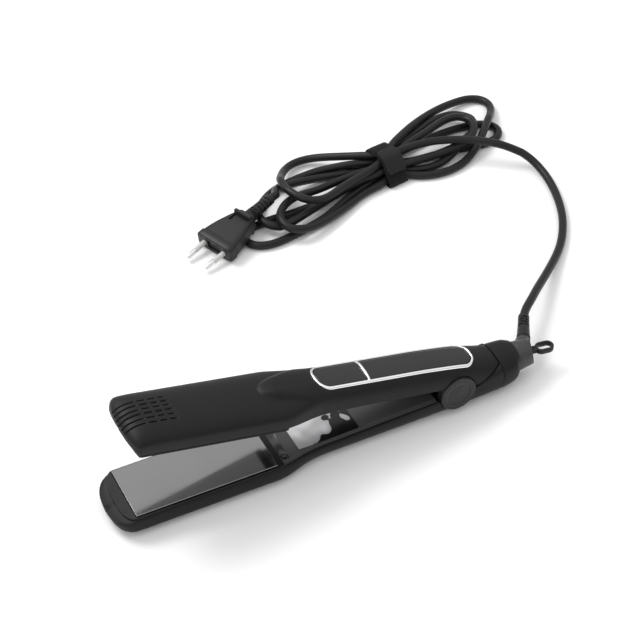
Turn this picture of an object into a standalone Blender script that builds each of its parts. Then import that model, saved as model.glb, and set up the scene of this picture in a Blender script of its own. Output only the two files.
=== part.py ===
"""Hair straightener: two arms on a sprung hinge, floating heater plates, swivel tail, tied lead with plug.

All lengths are in millimetres in a hinge frame (X = 0 on the hinge axis, Z = 0 on the table) and are
written to the scene in metres. +X runs to the cord, -X to the tips, the hinge disc faces -Y.
"""
import math

import bmesh
import bpy
from mathutils import Vector

MM = 0.001

# overall layout
NOSE_X = -239.0          # foremost point of both arms
LOOP_END_X = 80.5        # rearmost point of the hanging loop
SHIFT_X = -(NOSE_X + LOOP_END_X) / 2.0
PLATE_Z = 17.5           # working face of the lower plate
HINGE_Z = 18.1           # hinge axis
OPEN_DEG = 12.3          # the arms rest this far open
WALL = 1.6               # wall of the outer casings
GAP = 0.3                # clearance between neighbouring pieces

# heater plates
PLATE_X0 = -226.4
PLATE_X1 = -131.4
PLATE_HALF = 20.85
PLATE_EDGE_GAP = 0.3

# hinge
DISC_R = 12.65
NOTCH_R = 13.0
PIN_R = 2.5
BORE_R = 2.8
UPPER_REAR_R = 34.0      # rear end of the upper casing, a cylinder about the hinge axis
LOWER_REAR_R = 34.7
COLLAR_FRONT_R = 35.0

# swivel tail and lead
TAIL_Z = 15.85
ELBOW_X = 58.3
RELIEF_DIR = Vector((0.524, 0.852, 0.0)).normalized()
RELIEF_START = 11.9
RELIEF_LEN = 24.0
CORD_R = 3.0
END_CUT_X = 64.4
END_CUT_N = Vector((0.93, -0.33, 0.15)).normalized()

# bezel on the upper handle
BEZEL_X0 = -103.5
BEZEL_X1 = 13.3
BEZEL_HALF = 11.0
BEZEL_CORNER = 9.0
DIVIDER_X = -67.4

# plug
PLUG_BASE = Vector((-76.5, 198.5, 7.0))
PLUG_AZ = math.radians(21.7)
PLUG_TILT = math.radians(8.6)
PIN_LEN = 19.0
PIN_SPREAD = 9.3


def clear_scene():
    for obj in list(bpy.data.objects):
        bpy.data.objects.remove(obj, do_unlink=True)


def material(name, rgb, rough, metal=0.0):
    mat = bpy.data.materials.new(name)
    mat.use_nodes = True
    bsdf = mat.node_tree.nodes["Principled BSDF"]
    bsdf.inputs["Base Color"].default_value = (rgb[0], rgb[1], rgb[2], 1.0)
    bsdf.inputs["Roughness"].default_value = rough
    bsdf.inputs["Metallic"].default_value = metal
    mat.diffuse_color = (rgb[0], rgb[1], rgb[2], 1.0)
    return mat


def lerp_table(table, x):
    """Linear interpolation in rows (x, a, b, ...)."""
    if x <= table[0][0]:
        return table[0][1:]
    for low, high in zip(table, table[1:]):
        if x <= high[0]:
            t = (x - low[0]) / (high[0] - low[0])
            return tuple(a + (b - a) * t for a, b in zip(low[1:], high[1:]))
    return table[-1][1:]


def arm_point(x, y, v):
    """Upper-arm point (arm closed, v above the hinge axis) turned to the open rest pose."""
    a = math.radians(OPEN_DEG)
    return (x * math.cos(a) + v * math.sin(a), y, -x * math.sin(a) + v * math.cos(a) + HINGE_Z)


def add_object(name, verts, faces, mat, origin=(0.0, 0.0, 0.0)):
    """One closed body from hinge-frame millimetres, its origin at a hinge-frame point."""
    mesh = bpy.data.meshes.new(name)
    base = Vector(origin)
    mesh.from_pydata([tuple((Vector(v) - base) * MM) for v in verts], [], faces)
    work = bmesh.new()
    work.from_mesh(mesh)
    bmesh.ops.remove_doubles(work, verts=work.verts, dist=2e-6)
    bmesh.ops.recalc_face_normals(work, faces=work.faces)
    work.to_mesh(mesh)
    work.free()
    mesh.materials.append(mat)
    obj = bpy.data.objects.new(name, mesh)
    obj.location = (base + Vector((SHIFT_X, 0.0, 0.0))) * MM
    bpy.context.scene.collection.objects.link(obj)
    return obj


HINGE_POINT = (0.0, 0.0, HINGE_Z)


def loft(rings):
    """Faces of a tube through closed rings of equal length, flat ends."""
    n = len(rings[0])
    verts = [p for ring in rings for p in ring]
    faces = [tuple(range(n - 1, -1, -1)), tuple((len(rings) - 1) * n + k for k in range(n))]
    for i in range(len(rings) - 1):
        for k in range(n):
            m = (k + 1) % n
            faces.append((i * n + k, i * n + m, (i + 1) * n + m, (i + 1) * n + k))
    return verts, faces


def torus_loft(rings):
    """Faces of a closed band: the last ring joins the first."""
    n = len(rings[0])
    count = len(rings)
    verts = [p for ring in rings for p in ring]
    faces = []
    for i in range(count):
        j = (i + 1) % count
        for k in range(n):
            m = (k + 1) % n
            faces.append((i * n + k, i * n + m, j * n + m, j * n + k))
    return verts, faces


def box(x0, x1, y0, y1, z0, z1):
    ring0 = [(x0, y0, z0), (x0, y1, z0), (x0, y1, z1), (x0, y0, z1)]
    ring1 = [(x1, y0, z0), (x1, y1, z0), (x1, y1, z1), (x1, y0, z1)]
    return loft([ring0, ring1])


def to_arm(verts):
    return [arm_point(*v) for v in verts]


def side_ring(y, radius, count, z=0.0):
    """Circle about the hinge direction (Y), given in arm coordinates."""
    return [(radius * math.cos(2 * math.pi * k / count), y, z + radius * math.sin(2 * math.pi * k / count))
            for k in range(count)]


def axis_ring(centre, axis, radius, count):
    """Circle of a given radius square to an axis."""
    side = axis.cross(Vector((0.0, 0.0, 1.0)))
    if side.length < 0.01:
        side = Vector((1.0, 0.0, 0.0))
    side.normalize()
    up = side.cross(axis).normalized()
    out = []
    for k in range(count):
        a = 2 * math.pi * k / count
        out.append(tuple(centre + side * (radius * math.cos(a)) + up * (radius * math.sin(a))))
    return out


def revolve(start, axis, profile, count, closed=False):
    """Turned body. profile = (distance along the axis, radius) rows."""
    rings = [axis_ring(start + axis * t, axis, r, count) for t, r in profile]
    return torus_loft(rings) if closed else loft(rings)


def cutter(name, verts, faces):
    obj = add_object(name, verts, faces, CUT)
    obj.hide_render = True
    obj.display_type = 'WIRE'
    return obj


def boolean(obj, other, operation='DIFFERENCE'):
    mod = obj.modifiers.new(other.name, 'BOOLEAN')
    mod.operation = operation
    mod.solver = 'EXACT'
    mod.object = other


# ---------------------------------------------------------------- casing sections

# rows: x, half width, rim half width, rim depth, depth of the widest line, full depth
LOWER_ROWS = [
    (-225.0, 23.2, 22.1, 2.6, 9.0, 17.5),
    (-131.0, 23.2, 22.1, 2.6, 9.0, 17.5),
    (-126.0, 22.7, 21.6, 2.9, 8.8, 17.5),
    (-120.0, 21.3, 20.2, 3.3, 8.2, 17.5),
    (-114.0, 19.5, 18.4, 3.8, 7.2, 17.5),
    (-108.0, 17.9, 16.8, 4.2, 6.5, 17.5),
    (-101.0, 16.7, 15.6, 4.4, 6.0, 17.5),
    (-92.0, 16.3, 15.3, 4.3, 5.6, 17.5),
    (-60.0, 16.3, 15.3, 3.3, 5.0, 17.5),
    (-30.0, 16.3, 15.5, 2.4, 4.6, 17.5),
    (-14.0, 16.3, 15.8, 1.7, 4.2, 17.5),
    (0.0, 16.2, 16.1, 0.3, 3.8, 17.4),
    (14.0, 16.0, 15.9, -0.2, 3.3, 17.3),
]
# behind the disc the rim climbs, so its half width follows the section there
LOWER_REAR = [(20.5, 15.8, -2.2, 3.3, 17.2), (24.5, 15.7, -3.6, 3.3, 17.1), (28.0, 15.6, -4.9, 3.3, 17.0)]
REAR_UP = 14.0

# upper casing, the same columns, depth measured up from the plate
UPPER_ROWS = [
    (-225.0, 23.2, 22.1, 2.6, 9.0, 17.5),
    (-131.0, 23.2, 22.1, 2.6, 9.0, 17.5),
    (-126.0, 22.7, 21.4, 2.5, 9.0, 17.6),
    (-120.0, 21.3, 19.8, 2.1, 9.0, 18.1),
    (-114.0, 19.5, 17.9, 1.7, 9.0, 19.0),
    (-108.0, 17.9, 16.2, 1.6, 8.7, 20.0),
    (-101.0, 16.7, 15.0, 1.9, 8.4, 20.7),
    (-92.0, 16.3, 14.6, 2.6, 8.2, 20.9),
    (-60.0, 16.3, 14.6, 3.7, 8.0, 21.0),
    (-30.0, 16.3, 14.9, 4.4, 7.4, 21.2),
    (-14.0, 16.2, 15.4, 5.0, 6.6, 20.9),
    (0.0, 16.1, 15.9, 4.8, 5.4, 20.4),
]
UPPER_REAR = [(13.0, 15.9, 4.4, 3.2, 19.2), (20.0, 15.7, 7.6, 1.8, 18.2), (25.0, 15.6, 10.8, 1.2, 17.6)]
UPPER_END = (29.0, 15.5, 14.4, 0.8, 17.1)
NOSE_START = -225.0
NOSE_POWER = 2.6
NOSE_STEPS = [0.979, 0.886, 0.714, 0.464, 0.179]
# how far the outline, the inner wall and the plate carrier reach past x = -225, and the slope of the lips
LOWER_NOSE = (14.0, 7.2, 8.8, 0.45)
UPPER_NOSE = (8.4, 4.4, 5.6, 0.8)
LIP_X = -226.9
POWER = 2.5


def nose_factor(t):
    """Share of the full width left at t, 0 where the nose starts and 1 at its tip."""
    return max(0.0, 1.0 - min(1.0, max(0.0, t)) ** NOSE_POWER) ** (1.0 / NOSE_POWER)


def lip_drop(x, slope):
    """How far the nose's inner face has fallen away from the plate at x."""
    return slope * max(0.0, LIP_X - x)


def half_profile(w, wr, dr, dc, db, wall):
    """Half section as (half width, depth) from the rim to the middle of the back, 9 points."""
    w = w - wall
    wr = wr - wall
    db = db - wall
    out = []
    if dr < dc:
        for k in range(3):
            t = k / 3.0
            out.append((wr + (w - wr) * math.sqrt(1.0 - (1.0 - t) ** 2), dr + (dc - dr) * t))
        start, steps = 0.0, 5
    else:
        start = math.asin(min(1.0, ((dr - dc) / (db - dc)) ** (POWER / 2.0)))
        steps = 8
    for k in range(steps + 1):
        a = start + (math.pi / 2 - start) * k / steps
        out.append((w * math.cos(a) ** (2.0 / POWER) if k < steps else 0.0,
                    dc + (db - dc) * math.sin(a) ** (2.0 / POWER)))
    return out


def casing_rings(rows, rear, end, wall, place, nose):
    """Rings of points, near rim over the back to the far rim, from the nose to the rear end."""
    stations = []
    for t in NOSE_STEPS:
        f = nose_factor(t)
        w, wr, dr, dc, db = lerp_table(rows, NOSE_START)
        xi = NOSE_START - t * (nose[1] if wall else nose[0])
        stations.append((xi, max(w * f, 3.0 + wall), max(wr * f, 2.6 + wall), dr + lip_drop(xi, nose[3]), dc,
                         dc + (db - dc) * f ** 0.7))
    for row in rows:
        stations.append(row)
    for x, w, dr, dc, db in rear:
        up = max(db - dc, REAR_UP) if end is None else db - dc
        wr = w * max(0.0, 1.0 - (abs(dc - dr) / up) ** POWER) ** (1.0 / POWER)
        stations.append((x, w, wr, dr, dc, db))
    rings = []
    for x, w, wr, dr, dc, db in stations:
        half = half_profile(w, wr, dr, dc, max(db, dc + 2.0 + wall), wall)
        ring = [place(x, -y, d) for y, d in half] + [place(x, y, d) for y, d in reversed(half[:-1])]
        rings.append(ring)
    return rings, stations


def open_shell(outer, inner):
    """Trough-shaped body between an outer and an inner set of rings."""
    n = len(outer[0])
    rows = len(outer)
    verts = [p for ring in outer for p in ring] + [p for ring in inner for p in ring]
    off = rows * n
    faces = []
    for i in range(rows - 1):
        for k in range(n - 1):
            a = i * n + k
            b = (i + 1) * n + k
            faces.append((a, a + 1, b + 1, b))
            faces.append((off + a, off + b, off + b + 1, off + a + 1))
        for k in (0, n - 1):
            a = i * n + k
            b = (i + 1) * n + k
            faces.append((a, b, off + b, off + a) if k == 0 else (b, a, off + a, off + b))
    faces.append(tuple(range(n)))
    faces.append(tuple(off + k for k in reversed(range(n))))
    faces.append((0, off, off + n - 1, n - 1))
    last = (rows - 1) * n
    for k in range(n - 1):
        faces.append((last + k, last + k + 1, off + last + k + 1, off + last + k))
    return verts, faces


def lower_place(x, y, d):
    return (x, y, PLATE_Z - d)


def upper_place(x, y, d):
    return (x, y, d - PLATE_EDGE_GAP)


def ridge_lift(x, y, base):
    """Height that the thumb ridge adds where the handle runs out onto the head."""
    if x < -141.0 or x > -96.0:
        return 0.0
    half = 1.5 + 11.5 * min(1.0, (x + 141.0) / 20.0) ** 0.5 + max(0.0, x + 121.0) * 0.25
    rise = (20.8 - base) * min(1.0, (x + 141.0) / 9.0) ** 0.6
    t = abs(y) / half
    return rise * max(0.0, 1.0 - t ** 4)


def end_ring(section, radius, wall, place):
    """Last ring, on a cylinder about the hinge axis."""
    x, w, wr, dr, dc, db = section
    half = half_profile(w, wr, dr, dc, db, wall)
    out = []
    for sign, seq in ((-1.0, half), (1.0, list(reversed(half[:-1])))):
        for y, d in seq:
            px, py, pz = place(x, sign * y, d)
            out.append((px, py, pz))
    return out


def wr_of(w, dr, dc, up):
    return w * max(0.0, 1.0 - (abs(dc - dr) / up) ** POWER) ** (1.0 / POWER)


def build_lower_shell():
    sets = []
    for wall in (0.0, WALL):
        rings, _ = casing_rings(LOWER_ROWS, LOWER_REAR, None, wall, lower_place, LOWER_NOSE)
        w, dr, dc, db = 15.6, -7.4, 3.3, 16.9
        ring = end_ring((31.0, w, wr_of(w, dr, dc, REAR_UP), dr, dc, db), LOWER_REAR_R, wall, lower_place)
        ring = [(math.sqrt(LOWER_REAR_R ** 2 - (z - HINGE_Z) ** 2), y, z) for x, y, z in ring]
        rings.append(ring)
        sets.append(rings)
    verts, faces = open_shell(sets[0], sets[1])
    shell = add_object("lower_shell", verts, faces, SOFT_BLACK)
    for sign, tag in ((-1.0, "near"), (1.0, "far")):
        ring0 = [(x, y, z + HINGE_Z) for x, y, z in side_ring(sign * 10.7, NOTCH_R, 40)]
        ring1 = [(x, y, z + HINGE_Z) for x, y, z in side_ring(sign * 20.0, NOTCH_R, 40)]
        cut = cutter("cut_lower_notch_" + tag, *loft([ring0, ring1]))
        boolean(shell, cut)
    return shell


def vent_slots():
    """Rows of short slots through the upper casing behind the tip."""
    verts, faces = [], []
    for row in range(6):
        y = -9.9 + 3.96 * row
        for x, length in ((-215.5, 5.6), (-208.7, 4.8), (-202.4, 4.2)):
            v, f = box(x - length / 2, x + length / 2, y - 0.55, y + 0.55, 13.0, 19.5)
            off = len(verts)
            verts += to_arm(v)
            faces += [tuple(off + k for k in face) for face in f]
    return verts, faces


def build_upper_shell():
    sets = []
    for wall in (0.0, WALL):
        rings, stations = casing_rings(UPPER_ROWS, UPPER_REAR, True, wall, upper_place, UPPER_NOSE)
        x, w, dr, dc, db = UPPER_END
        ring = end_ring((x, w, wr_of(w, dr, dc, db - dc), dr, dc, db), UPPER_REAR_R, wall, upper_place)
        ring = [(math.sqrt(UPPER_REAR_R ** 2 - v ** 2), y, v) for px, y, v in ring]
        rings.append(ring)
        lifted = []
        for ring in rings:
            top = max(v for px, y, v in ring)
            lifted.append([(px, y, v + ridge_lift(px, y, top + wall) * (1.0 if v > top - 3.0 else 0.0))
                           for px, y, v in ring])
        sets.append([to_arm(ring) for ring in lifted])
    verts, faces = open_shell(sets[0], sets[1])
    shell = add_object("upper_shell", verts, faces, SOFT_BLACK, HINGE_POINT)
    outline = bezel_outline(0.35)
    ring0 = [arm_point(x, y, 8.0) for x, y in outline]
    ring1 = [arm_point(x, y, 30.0) for x, y in outline]
    boolean(shell, cutter("cut_bezel_hole", *loft([ring0, ring1])))
    boolean(shell, cutter("cut_vents", *vent_slots()))
    for sign, tag in ((-1.0, "near"), (1.0, "far")):
        ring0 = to_arm(side_ring(sign * 10.8, NOTCH_R + 0.1, 40))
        ring1 = to_arm(side_ring(sign * 20.0, NOTCH_R + 0.1, 40))
        boolean(shell, cutter("cut_upper_notch_" + tag, *loft([ring0, ring1])))
    return shell


# ---------------------------------------------------------------- inner pieces of both arms

def build_frame(name, mat, origin, place, nose):
    """Plate carrier: nose panel, two thin side rails and a strip behind the plate."""
    half = [(-126.9, 21.5), (-131.0, 22.0), (-160.0, 22.0), (-195.0, 22.0), (-225.0, 22.0)]
    for t in (0.179, 0.357, 0.536, 0.7, 0.829, 0.914):
        half.append((NOSE_START - t * nose[2], 22.0 * nose_factor(t + 0.064)))
    outline = [(x, -w) for x, w in half] + [(x, w) for x, w in reversed(half)]
    x0, x1, hw = PLATE_X0 - GAP, PLATE_X1 + GAP, PLATE_HALF + GAP
    inner = [(min(max(x, x0), x1), min(max(y, -hw), hw)) for x, y in outline]
    rings = []
    for loop, d in ((outline, 2.3), (outline, 1.0), (inner, 1.0), (inner, 2.3)):
        rings.append([place(x, y, d + lip_drop(x, nose[3])) for x, y in loop])
    verts, faces = torus_loft(rings)
    return add_object(name, verts, faces, mat, origin)


def build_plate(name, mat, origin, place):
    """Heater plate: full-width skin over a narrower body that drops into the carrier."""
    profile = [(PLATE_HALF, 0.25), (PLATE_HALF - 0.25, 0.0), (-PLATE_HALF + 0.25, 0.0), (-PLATE_HALF, 0.25),
               (-PLATE_HALF, 1.15), (-19.4, 1.15), (-19.4, 3.2), (19.4, 3.2), (19.4, 1.15), (PLATE_HALF, 1.15)]
    rings = [[place(x, y, d) for y, d in profile] for x in (PLATE_X0, PLATE_X1)]
    verts, faces = loft(rings)
    return add_object(name, verts, faces, mat, origin)


def placed_box(place, x0, x1, y0, y1, d0, d1):
    verts, faces = box(x0, x1, y0, y1, d0, d1)
    return [place(*v) for v in verts], faces


def build_cover(name, rows, mat, origin, place):
    """Inner cover of a handle, from the plate strip to the hinge, with two screw holes."""
    rings = []
    for x in (-126.5, -120.0, -114.0, -108.0, -101.0, -92.0, -60.0, -30.0, -14.5):
        w, wr, dr, dc, db = lerp_table(rows, x)
        hw = wr - WALL - GAP
        rings.append([place(x, -hw, dr + 0.3), place(x, hw, dr + 0.3),
                      place(x, hw, dr + 1.9), place(x, -hw, dr + 1.9)])
    verts, faces = loft(rings)
    cover = add_object(name, verts, faces, mat, origin)
    holes, hole_faces = [], []
    for y in (-13.3, 13.3):
        ring0 = [place(-123.4 + 3.0 * math.cos(a), y + 3.0 * math.sin(a), 0.5)
                 for a in [2 * math.pi * k / 16 for k in range(16)]]
        ring1 = [place(-123.4 + 3.0 * math.cos(a), y + 3.0 * math.sin(a), 8.0)
                 for a in [2 * math.pi * k / 16 for k in range(16)]]
        v, f = loft([ring0, ring1])
        off = len(holes)
        holes += v
        hole_faces += [tuple(off + k for k in face) for face in f]
    boolean(cover, cutter("cut_" + name, holes, hole_faces))
    return cover


def build_screw(name, y, mat, origin, place, depth):
    """Countersunk cover screw with a cross recess left to its finish."""
    rings = []
    for d, r in ((depth, 2.6), (depth + 1.2, 2.6), (depth + 1.8, 1.3), (depth + 7.5, 1.3)):
        rings.append([place(-123.4 + r * math.cos(a), y + r * math.sin(a), d)
                      for a in [2 * math.pi * k / 14 for k in range(14)]])
    verts, faces = loft(rings)
    return add_object(name, verts, faces, mat, origin)


def build_arm_insides(prefix, rows, origin, place, nose):
    build_frame(prefix + "_frame", SATIN_GREY, origin, place, nose)
    build_plate(prefix + "_plate", PLATE_METAL, origin, place)
    build_cover(prefix + "_cover", rows, SATIN_GREY, origin, place)
    v, f = placed_box(place, -216.0, -142.0, -9.0, 9.0, 3.5, 6.0)
    add_object(prefix + "_heater", v, f, CERAMIC, origin)
    for x, tag in ((-208.0, "front"), (-150.0, "rear")):
        v, f = placed_box(place, x - 6.0, x + 6.0, -7.0, 7.0, 7.1, 15.3)
        add_object(prefix + "_pad_" + tag, v, f, SILICONE, origin)
    dr = lerp_table(rows, -123.4)[2]
    for k, y in enumerate((-13.3, 13.3)):
        build_screw("%s_screw_%d" % (prefix, k + 1), y, STEEL, origin, place, dr + 0.7)


def build_label():
    rows = []
    for x in (-112.0, -101.0, -92.0, -69.3):
        dr = lerp_table(LOWER_ROWS, x)[2]
        rows.append([lower_place(x, -10.8, dr + 0.22), lower_place(x, 10.8, dr + 0.22),
                     lower_place(x, 10.8, dr - 0.08), lower_place(x, -10.8, dr - 0.08)])
    verts, faces = loft(rows)
    return add_object("inner_label", verts, faces, LABEL)


# ---------------------------------------------------------------- bezel, lens, key, electronics

def rounded_half(x, x0, x1, half, r0, r1):
    """Half width at x of an outline with corner radii r0 (at x0) and r1 (at x1)."""
    if x < x0 + r0:
        return half - r0 + math.sqrt(max(0.0, r0 ** 2 - (x0 + r0 - x) ** 2))
    if x > x1 - r1:
        return half - r1 + math.sqrt(max(0.0, r1 ** 2 - (x - x1 + r1) ** 2))
    return half


def slab_stations(x0, x1, r0, r1):
    xs = [x0, x1]
    for r, end, sign in ((r0, x0, 1.0), (r1, x1, -1.0)):
        if r > 0.5:
            xs += [end + sign * r * (1.0 - math.cos(math.pi / 2 * k / 4)) for k in range(1, 5)]
    mid = [x0 + (x1 - x0) * k / 6.0 for k in range(1, 6)]
    xs += [x for x in mid if x0 + r0 + 2.0 < x < x1 - r1 - 2.0]
    return sorted(set(round(x, 4) for x in xs))


def outline_of(x0, x1, half, r0, r1):
    xs = slab_stations(x0, x1, r0, r1)
    low = [(x, -rounded_half(x, x0, x1, half, r0, r1)) for x in xs]
    return low + [(x, -y) for x, y in reversed(low)]


def bezel_outline(grow):
    return outline_of(BEZEL_X0 - grow, BEZEL_X1 + grow, BEZEL_HALF + grow, BEZEL_CORNER, BEZEL_CORNER)


def back_height(x, y):
    """Height of the handle's outer surface above the hinge axis, arm closed."""
    table = UPPER_ROWS + [(13.0, 15.9, 14.0, 4.4, 3.2, 19.2), (25.0, 15.6, 13.0, 10.8, 1.2, 17.6)]
    w, wr, dr, dc, db = lerp_table(table, x)
    t = min(0.97, abs(y) / w)
    return dc + (db - dc) * (1.0 - t ** POWER) ** (1.0 / POWER) - PLATE_EDGE_GAP


def curved_slab(x0, x1, half, r0, r1, lift, thick):
    """Slab that follows the handle's back: closed rings of 9 top and 9 bottom points."""
    rings = []
    for x in slab_stations(x0, x1, r0, r1):
        hw = rounded_half(x, x0, x1, half, r0, r1)
        ys = [hw * (k - 4) / 4.0 for k in range(9)]
        top = [arm_point(x, y, back_height(x, y) + lift) for y in ys]
        low = [arm_point(x, y, back_height(x, y) + lift - thick) for y in reversed(ys)]
        rings.append(top + low)
    return loft(rings)


def cell_body(xs, lines, present, top, bottom):
    """Body made of grid cells: lines(x) gives the widths, present(i, j) says which cells exist."""
    cols = len(lines(xs[0]))
    verts = []
    for x in xs:
        ys = lines(x)
        verts += [top(x, y) for y in ys] + [bottom(x, y) for y in ys]

    def t(i, j):
        return i * 2 * cols + j

    def b(i, j):
        return i * 2 * cols + cols + j

    def has(i, j):
        return 0 <= i < len(xs) - 1 and 0 <= j < cols - 1 and present(i, j)

    faces = []
    for i in range(len(xs) - 1):
        for j in range(cols - 1):
            if not has(i, j):
                continue
            faces.append((t(i, j), t(i + 1, j), t(i + 1, j + 1), t(i, j + 1)))
            faces.append((b(i, j), b(i, j + 1), b(i + 1, j + 1), b(i + 1, j)))
            if not has(i - 1, j):
                faces.append((t(i, j), t(i, j + 1), b(i, j + 1), b(i, j)))
            if not has(i + 1, j):
                faces.append((t(i + 1, j + 1), t(i + 1, j), b(i + 1, j), b(i + 1, j + 1)))
            if not has(i, j - 1):
                faces.append((t(i + 1, j), t(i, j), b(i, j), b(i + 1, j)))
            if not has(i, j + 1):
                faces.append((t(i, j + 1), t(i + 1, j + 1), b(i + 1, j + 1), b(i, j + 1)))
    used = sorted({k for face in faces for k in face})
    index = {k: n for n, k in enumerate(used)}
    return [verts[k] for k in used], [tuple(index[k] for k in face) for face in faces]


WINDOWS = [(BEZEL_X0 + 1.9, DIVIDER_X - 0.9, 7.3, 0.0), (DIVIDER_X + 0.9, BEZEL_X1 - 1.9, 0.0, 7.3)]
WINDOW_HALF = BEZEL_HALF - 1.7


def build_bezel():
    """Bright frame round the key and the lens, following the handle's back."""
    xs = slab_stations(BEZEL_X0, BEZEL_X1, BEZEL_CORNER, BEZEL_CORNER)
    for x0, x1, r0, r1 in WINDOWS:
        xs += slab_stations(x0, x1, r0, r1)
    xs = sorted(xs)
    xs = [xs[0]] + [x for last, x in zip(xs, xs[1:]) if x - last > 0.25 or x in (WINDOWS[0][0], WINDOWS[1][1])]

    def inner_half(x):
        outer = rounded_half(x, BEZEL_X0, BEZEL_X1, BEZEL_HALF, BEZEL_CORNER, BEZEL_CORNER)
        for x0, x1, r0, r1 in WINDOWS:
            if x0 - 0.01 <= x <= x1 + 0.01:
                return rounded_half(x, x0, x1, WINDOW_HALF, r0, r1)
        if WINDOWS[0][1] < x < WINDOWS[1][0]:
            return WINDOW_HALF
        return min(2.0, outer * 0.6)

    def lines(x):
        outer = rounded_half(x, BEZEL_X0, BEZEL_X1, BEZEL_HALF, BEZEL_CORNER, BEZEL_CORNER)
        inner = inner_half(x)
        return [-outer, -inner, -inner / 2, 0.0, inner / 2, inner, outer]

    def present(i, j):
        mid = (xs[i] + xs[i + 1]) / 2.0
        open_here = any(x0 < mid < x1 for x0, x1, r0, r1 in WINDOWS)
        return not (open_here and 1 <= j <= 4)

    v, f = cell_body(xs, lines, present,
                     lambda x, y: arm_point(x, y, back_height(x, y) + 0.6),
                     lambda x, y: arm_point(x, y, back_height(x, y) - 2.0))
    return add_object("display_bezel", v, f, CHROME, HINGE_POINT)


def build_display():
    build_bezel()
    windows = WINDOWS
    half = WINDOW_HALF - GAP
    x0, x1, r0, r1 = windows[0]
    key = curved_slab(x0 + GAP, x1 - GAP, half, r0 - GAP, 0.0, 0.1, 2.2)
    add_object("power_key", *key, GLOSS_BLACK, arm_point(-85.0, 0.0, 19.0))
    x0, x1, r0, r1 = windows[1]
    lens = curved_slab(x0 + GAP, x1 - GAP, half, 0.0, r1 - GAP, 0.1, 2.0)
    add_object("display_lens", *lens, GLOSS_BLACK, HINGE_POINT)
    v, f = box(-98.0, -20.0, -9.0, 9.0, 9.4, 11.0)
    add_object("circuit_board", to_arm(v), f, BOARD, HINGE_POINT)
    v, f = box(-88.0, -82.0, -3.0, 3.0, 11.3, 16.6)
    add_object("key_switch", to_arm(v), f, STEEL, HINGE_POINT)
    v, f = box(-60.0, -22.0, -6.5, 6.5, 11.3, 16.0)
    add_object("display_module", to_arm(v), f, GLOSS_BLACK, HINGE_POINT)


# ---------------------------------------------------------------- hinge

def hinge_turned(name, y0, y1, profile, mat, count=32, closed=False, arm=False):
    """Turned part on the hinge axis. profile = (y, radius)."""
    rings = []
    for y, r in profile:
        ring = side_ring(y, r, count)
        rings.append(to_arm(ring) if arm else [(x, yy, z + HINGE_Z) for x, yy, z in ring])
    verts, faces = torus_loft(rings) if closed else loft(rings)
    return add_object(name, verts, faces, mat, HINGE_POINT if arm else (0.0, 0.0, 0.0))


def build_knuckle(name, y0, y1):
    """Bearing plate of the upper arm: a ring about the pin with a web up to the casing's roof."""
    count = 32
    outer, inner = [], []
    for k in range(count):
        a = 2 * math.pi * k / count
        c, s = math.cos(a), math.sin(a)
        r = 6.8
        if s > 0.0:
            reach = min(6.8 / abs(c) if abs(c) > 0.01 else 99.0, 15.2 / s)
            r = max(6.8, min(reach, 16.0))
        outer.append((r * c, r * s))
        inner.append((BORE_R * c, BORE_R * s))
    rings = []
    for loop, y in ((outer, y0), (outer, y1), (inner, y1), (inner, y0)):
        rings.append([arm_point(x, y, v) for x, v in loop])
    verts, faces = torus_loft(rings)
    return add_object(name, verts, faces, STEEL, HINGE_POINT)


def build_spring():
    """Torsion spring that holds the arms open, wound round the pin."""
    coil_r, wire, turns, per_turn, sides = 4.4, 0.45, 4, 12, 6
    path = []
    for k in range(turns * per_turn + 1):
        a = 2 * math.pi * k / per_turn
        y = -3.6 + 7.2 * k / (turns * per_turn)
        path.append(Vector((coil_r * math.cos(a), y, HINGE_Z + coil_r * math.sin(a))))
    rings = []
    for k, p in enumerate(path):
        a = 2 * math.pi * k / per_turn
        out = Vector((math.cos(a), 0.0, math.sin(a)))
        side = Vector((0.0, 1.0, 0.0))
        rings.append([tuple(p + out * (wire * math.cos(2 * math.pi * j / sides))
                            + side * (wire * math.sin(2 * math.pi * j / sides))) for j in range(sides)])
    verts, faces = loft(rings)
    return add_object("hinge_spring", verts, faces, STEEL)


def build_hinge():
    for sign, tag in ((-1.0, "near"), (1.0, "far")):
        s = sign
        hinge_turned("hinge_bush_" + tag, 0, 0,
                     [(s * 11.0, DISC_R), (s * 15.2, DISC_R), (s * 15.2, BORE_R), (s * 11.0, BORE_R)],
                     SOFT_BLACK, closed=True)
        hinge_turned("hinge_disc_" + tag, 0, 0,
                     [(s * 15.5, DISC_R), (s * 16.8, DISC_R), (s * 17.2, DISC_R - 0.5), (s * 17.2, 8.6),
                      (s * 17.0, 8.3), (s * 17.0, 0.6)], DISC_GREY, count=40)
        build_knuckle("hinge_knuckle_" + tag, s * 4.9, s * 10.5)
    hinge_turned("hinge_pin", 0, 0, [(-14.9, PIN_R), (14.9, PIN_R)], STEEL, count=20)
    build_spring()


# ---------------------------------------------------------------- rear collar and swivel tail

def section_ring(x, w, h, zc, count, front_r=None):
    """Rounded section; with front_r its points lie on a cylinder about the hinge axis."""
    ring = []
    for k in range(count):
        a = 2 * math.pi * k / count
        c, s = math.cos(a), math.sin(a)
        y = w * math.copysign(abs(c) ** (2.0 / 2.3), c)
        z = zc + h * math.copysign(abs(s) ** (2.0 / 2.3), s)
        px = x if front_r is None else math.sqrt(front_r ** 2 - (z - HINGE_Z) ** 2)
        ring.append((px, y, z))
    return ring


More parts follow.
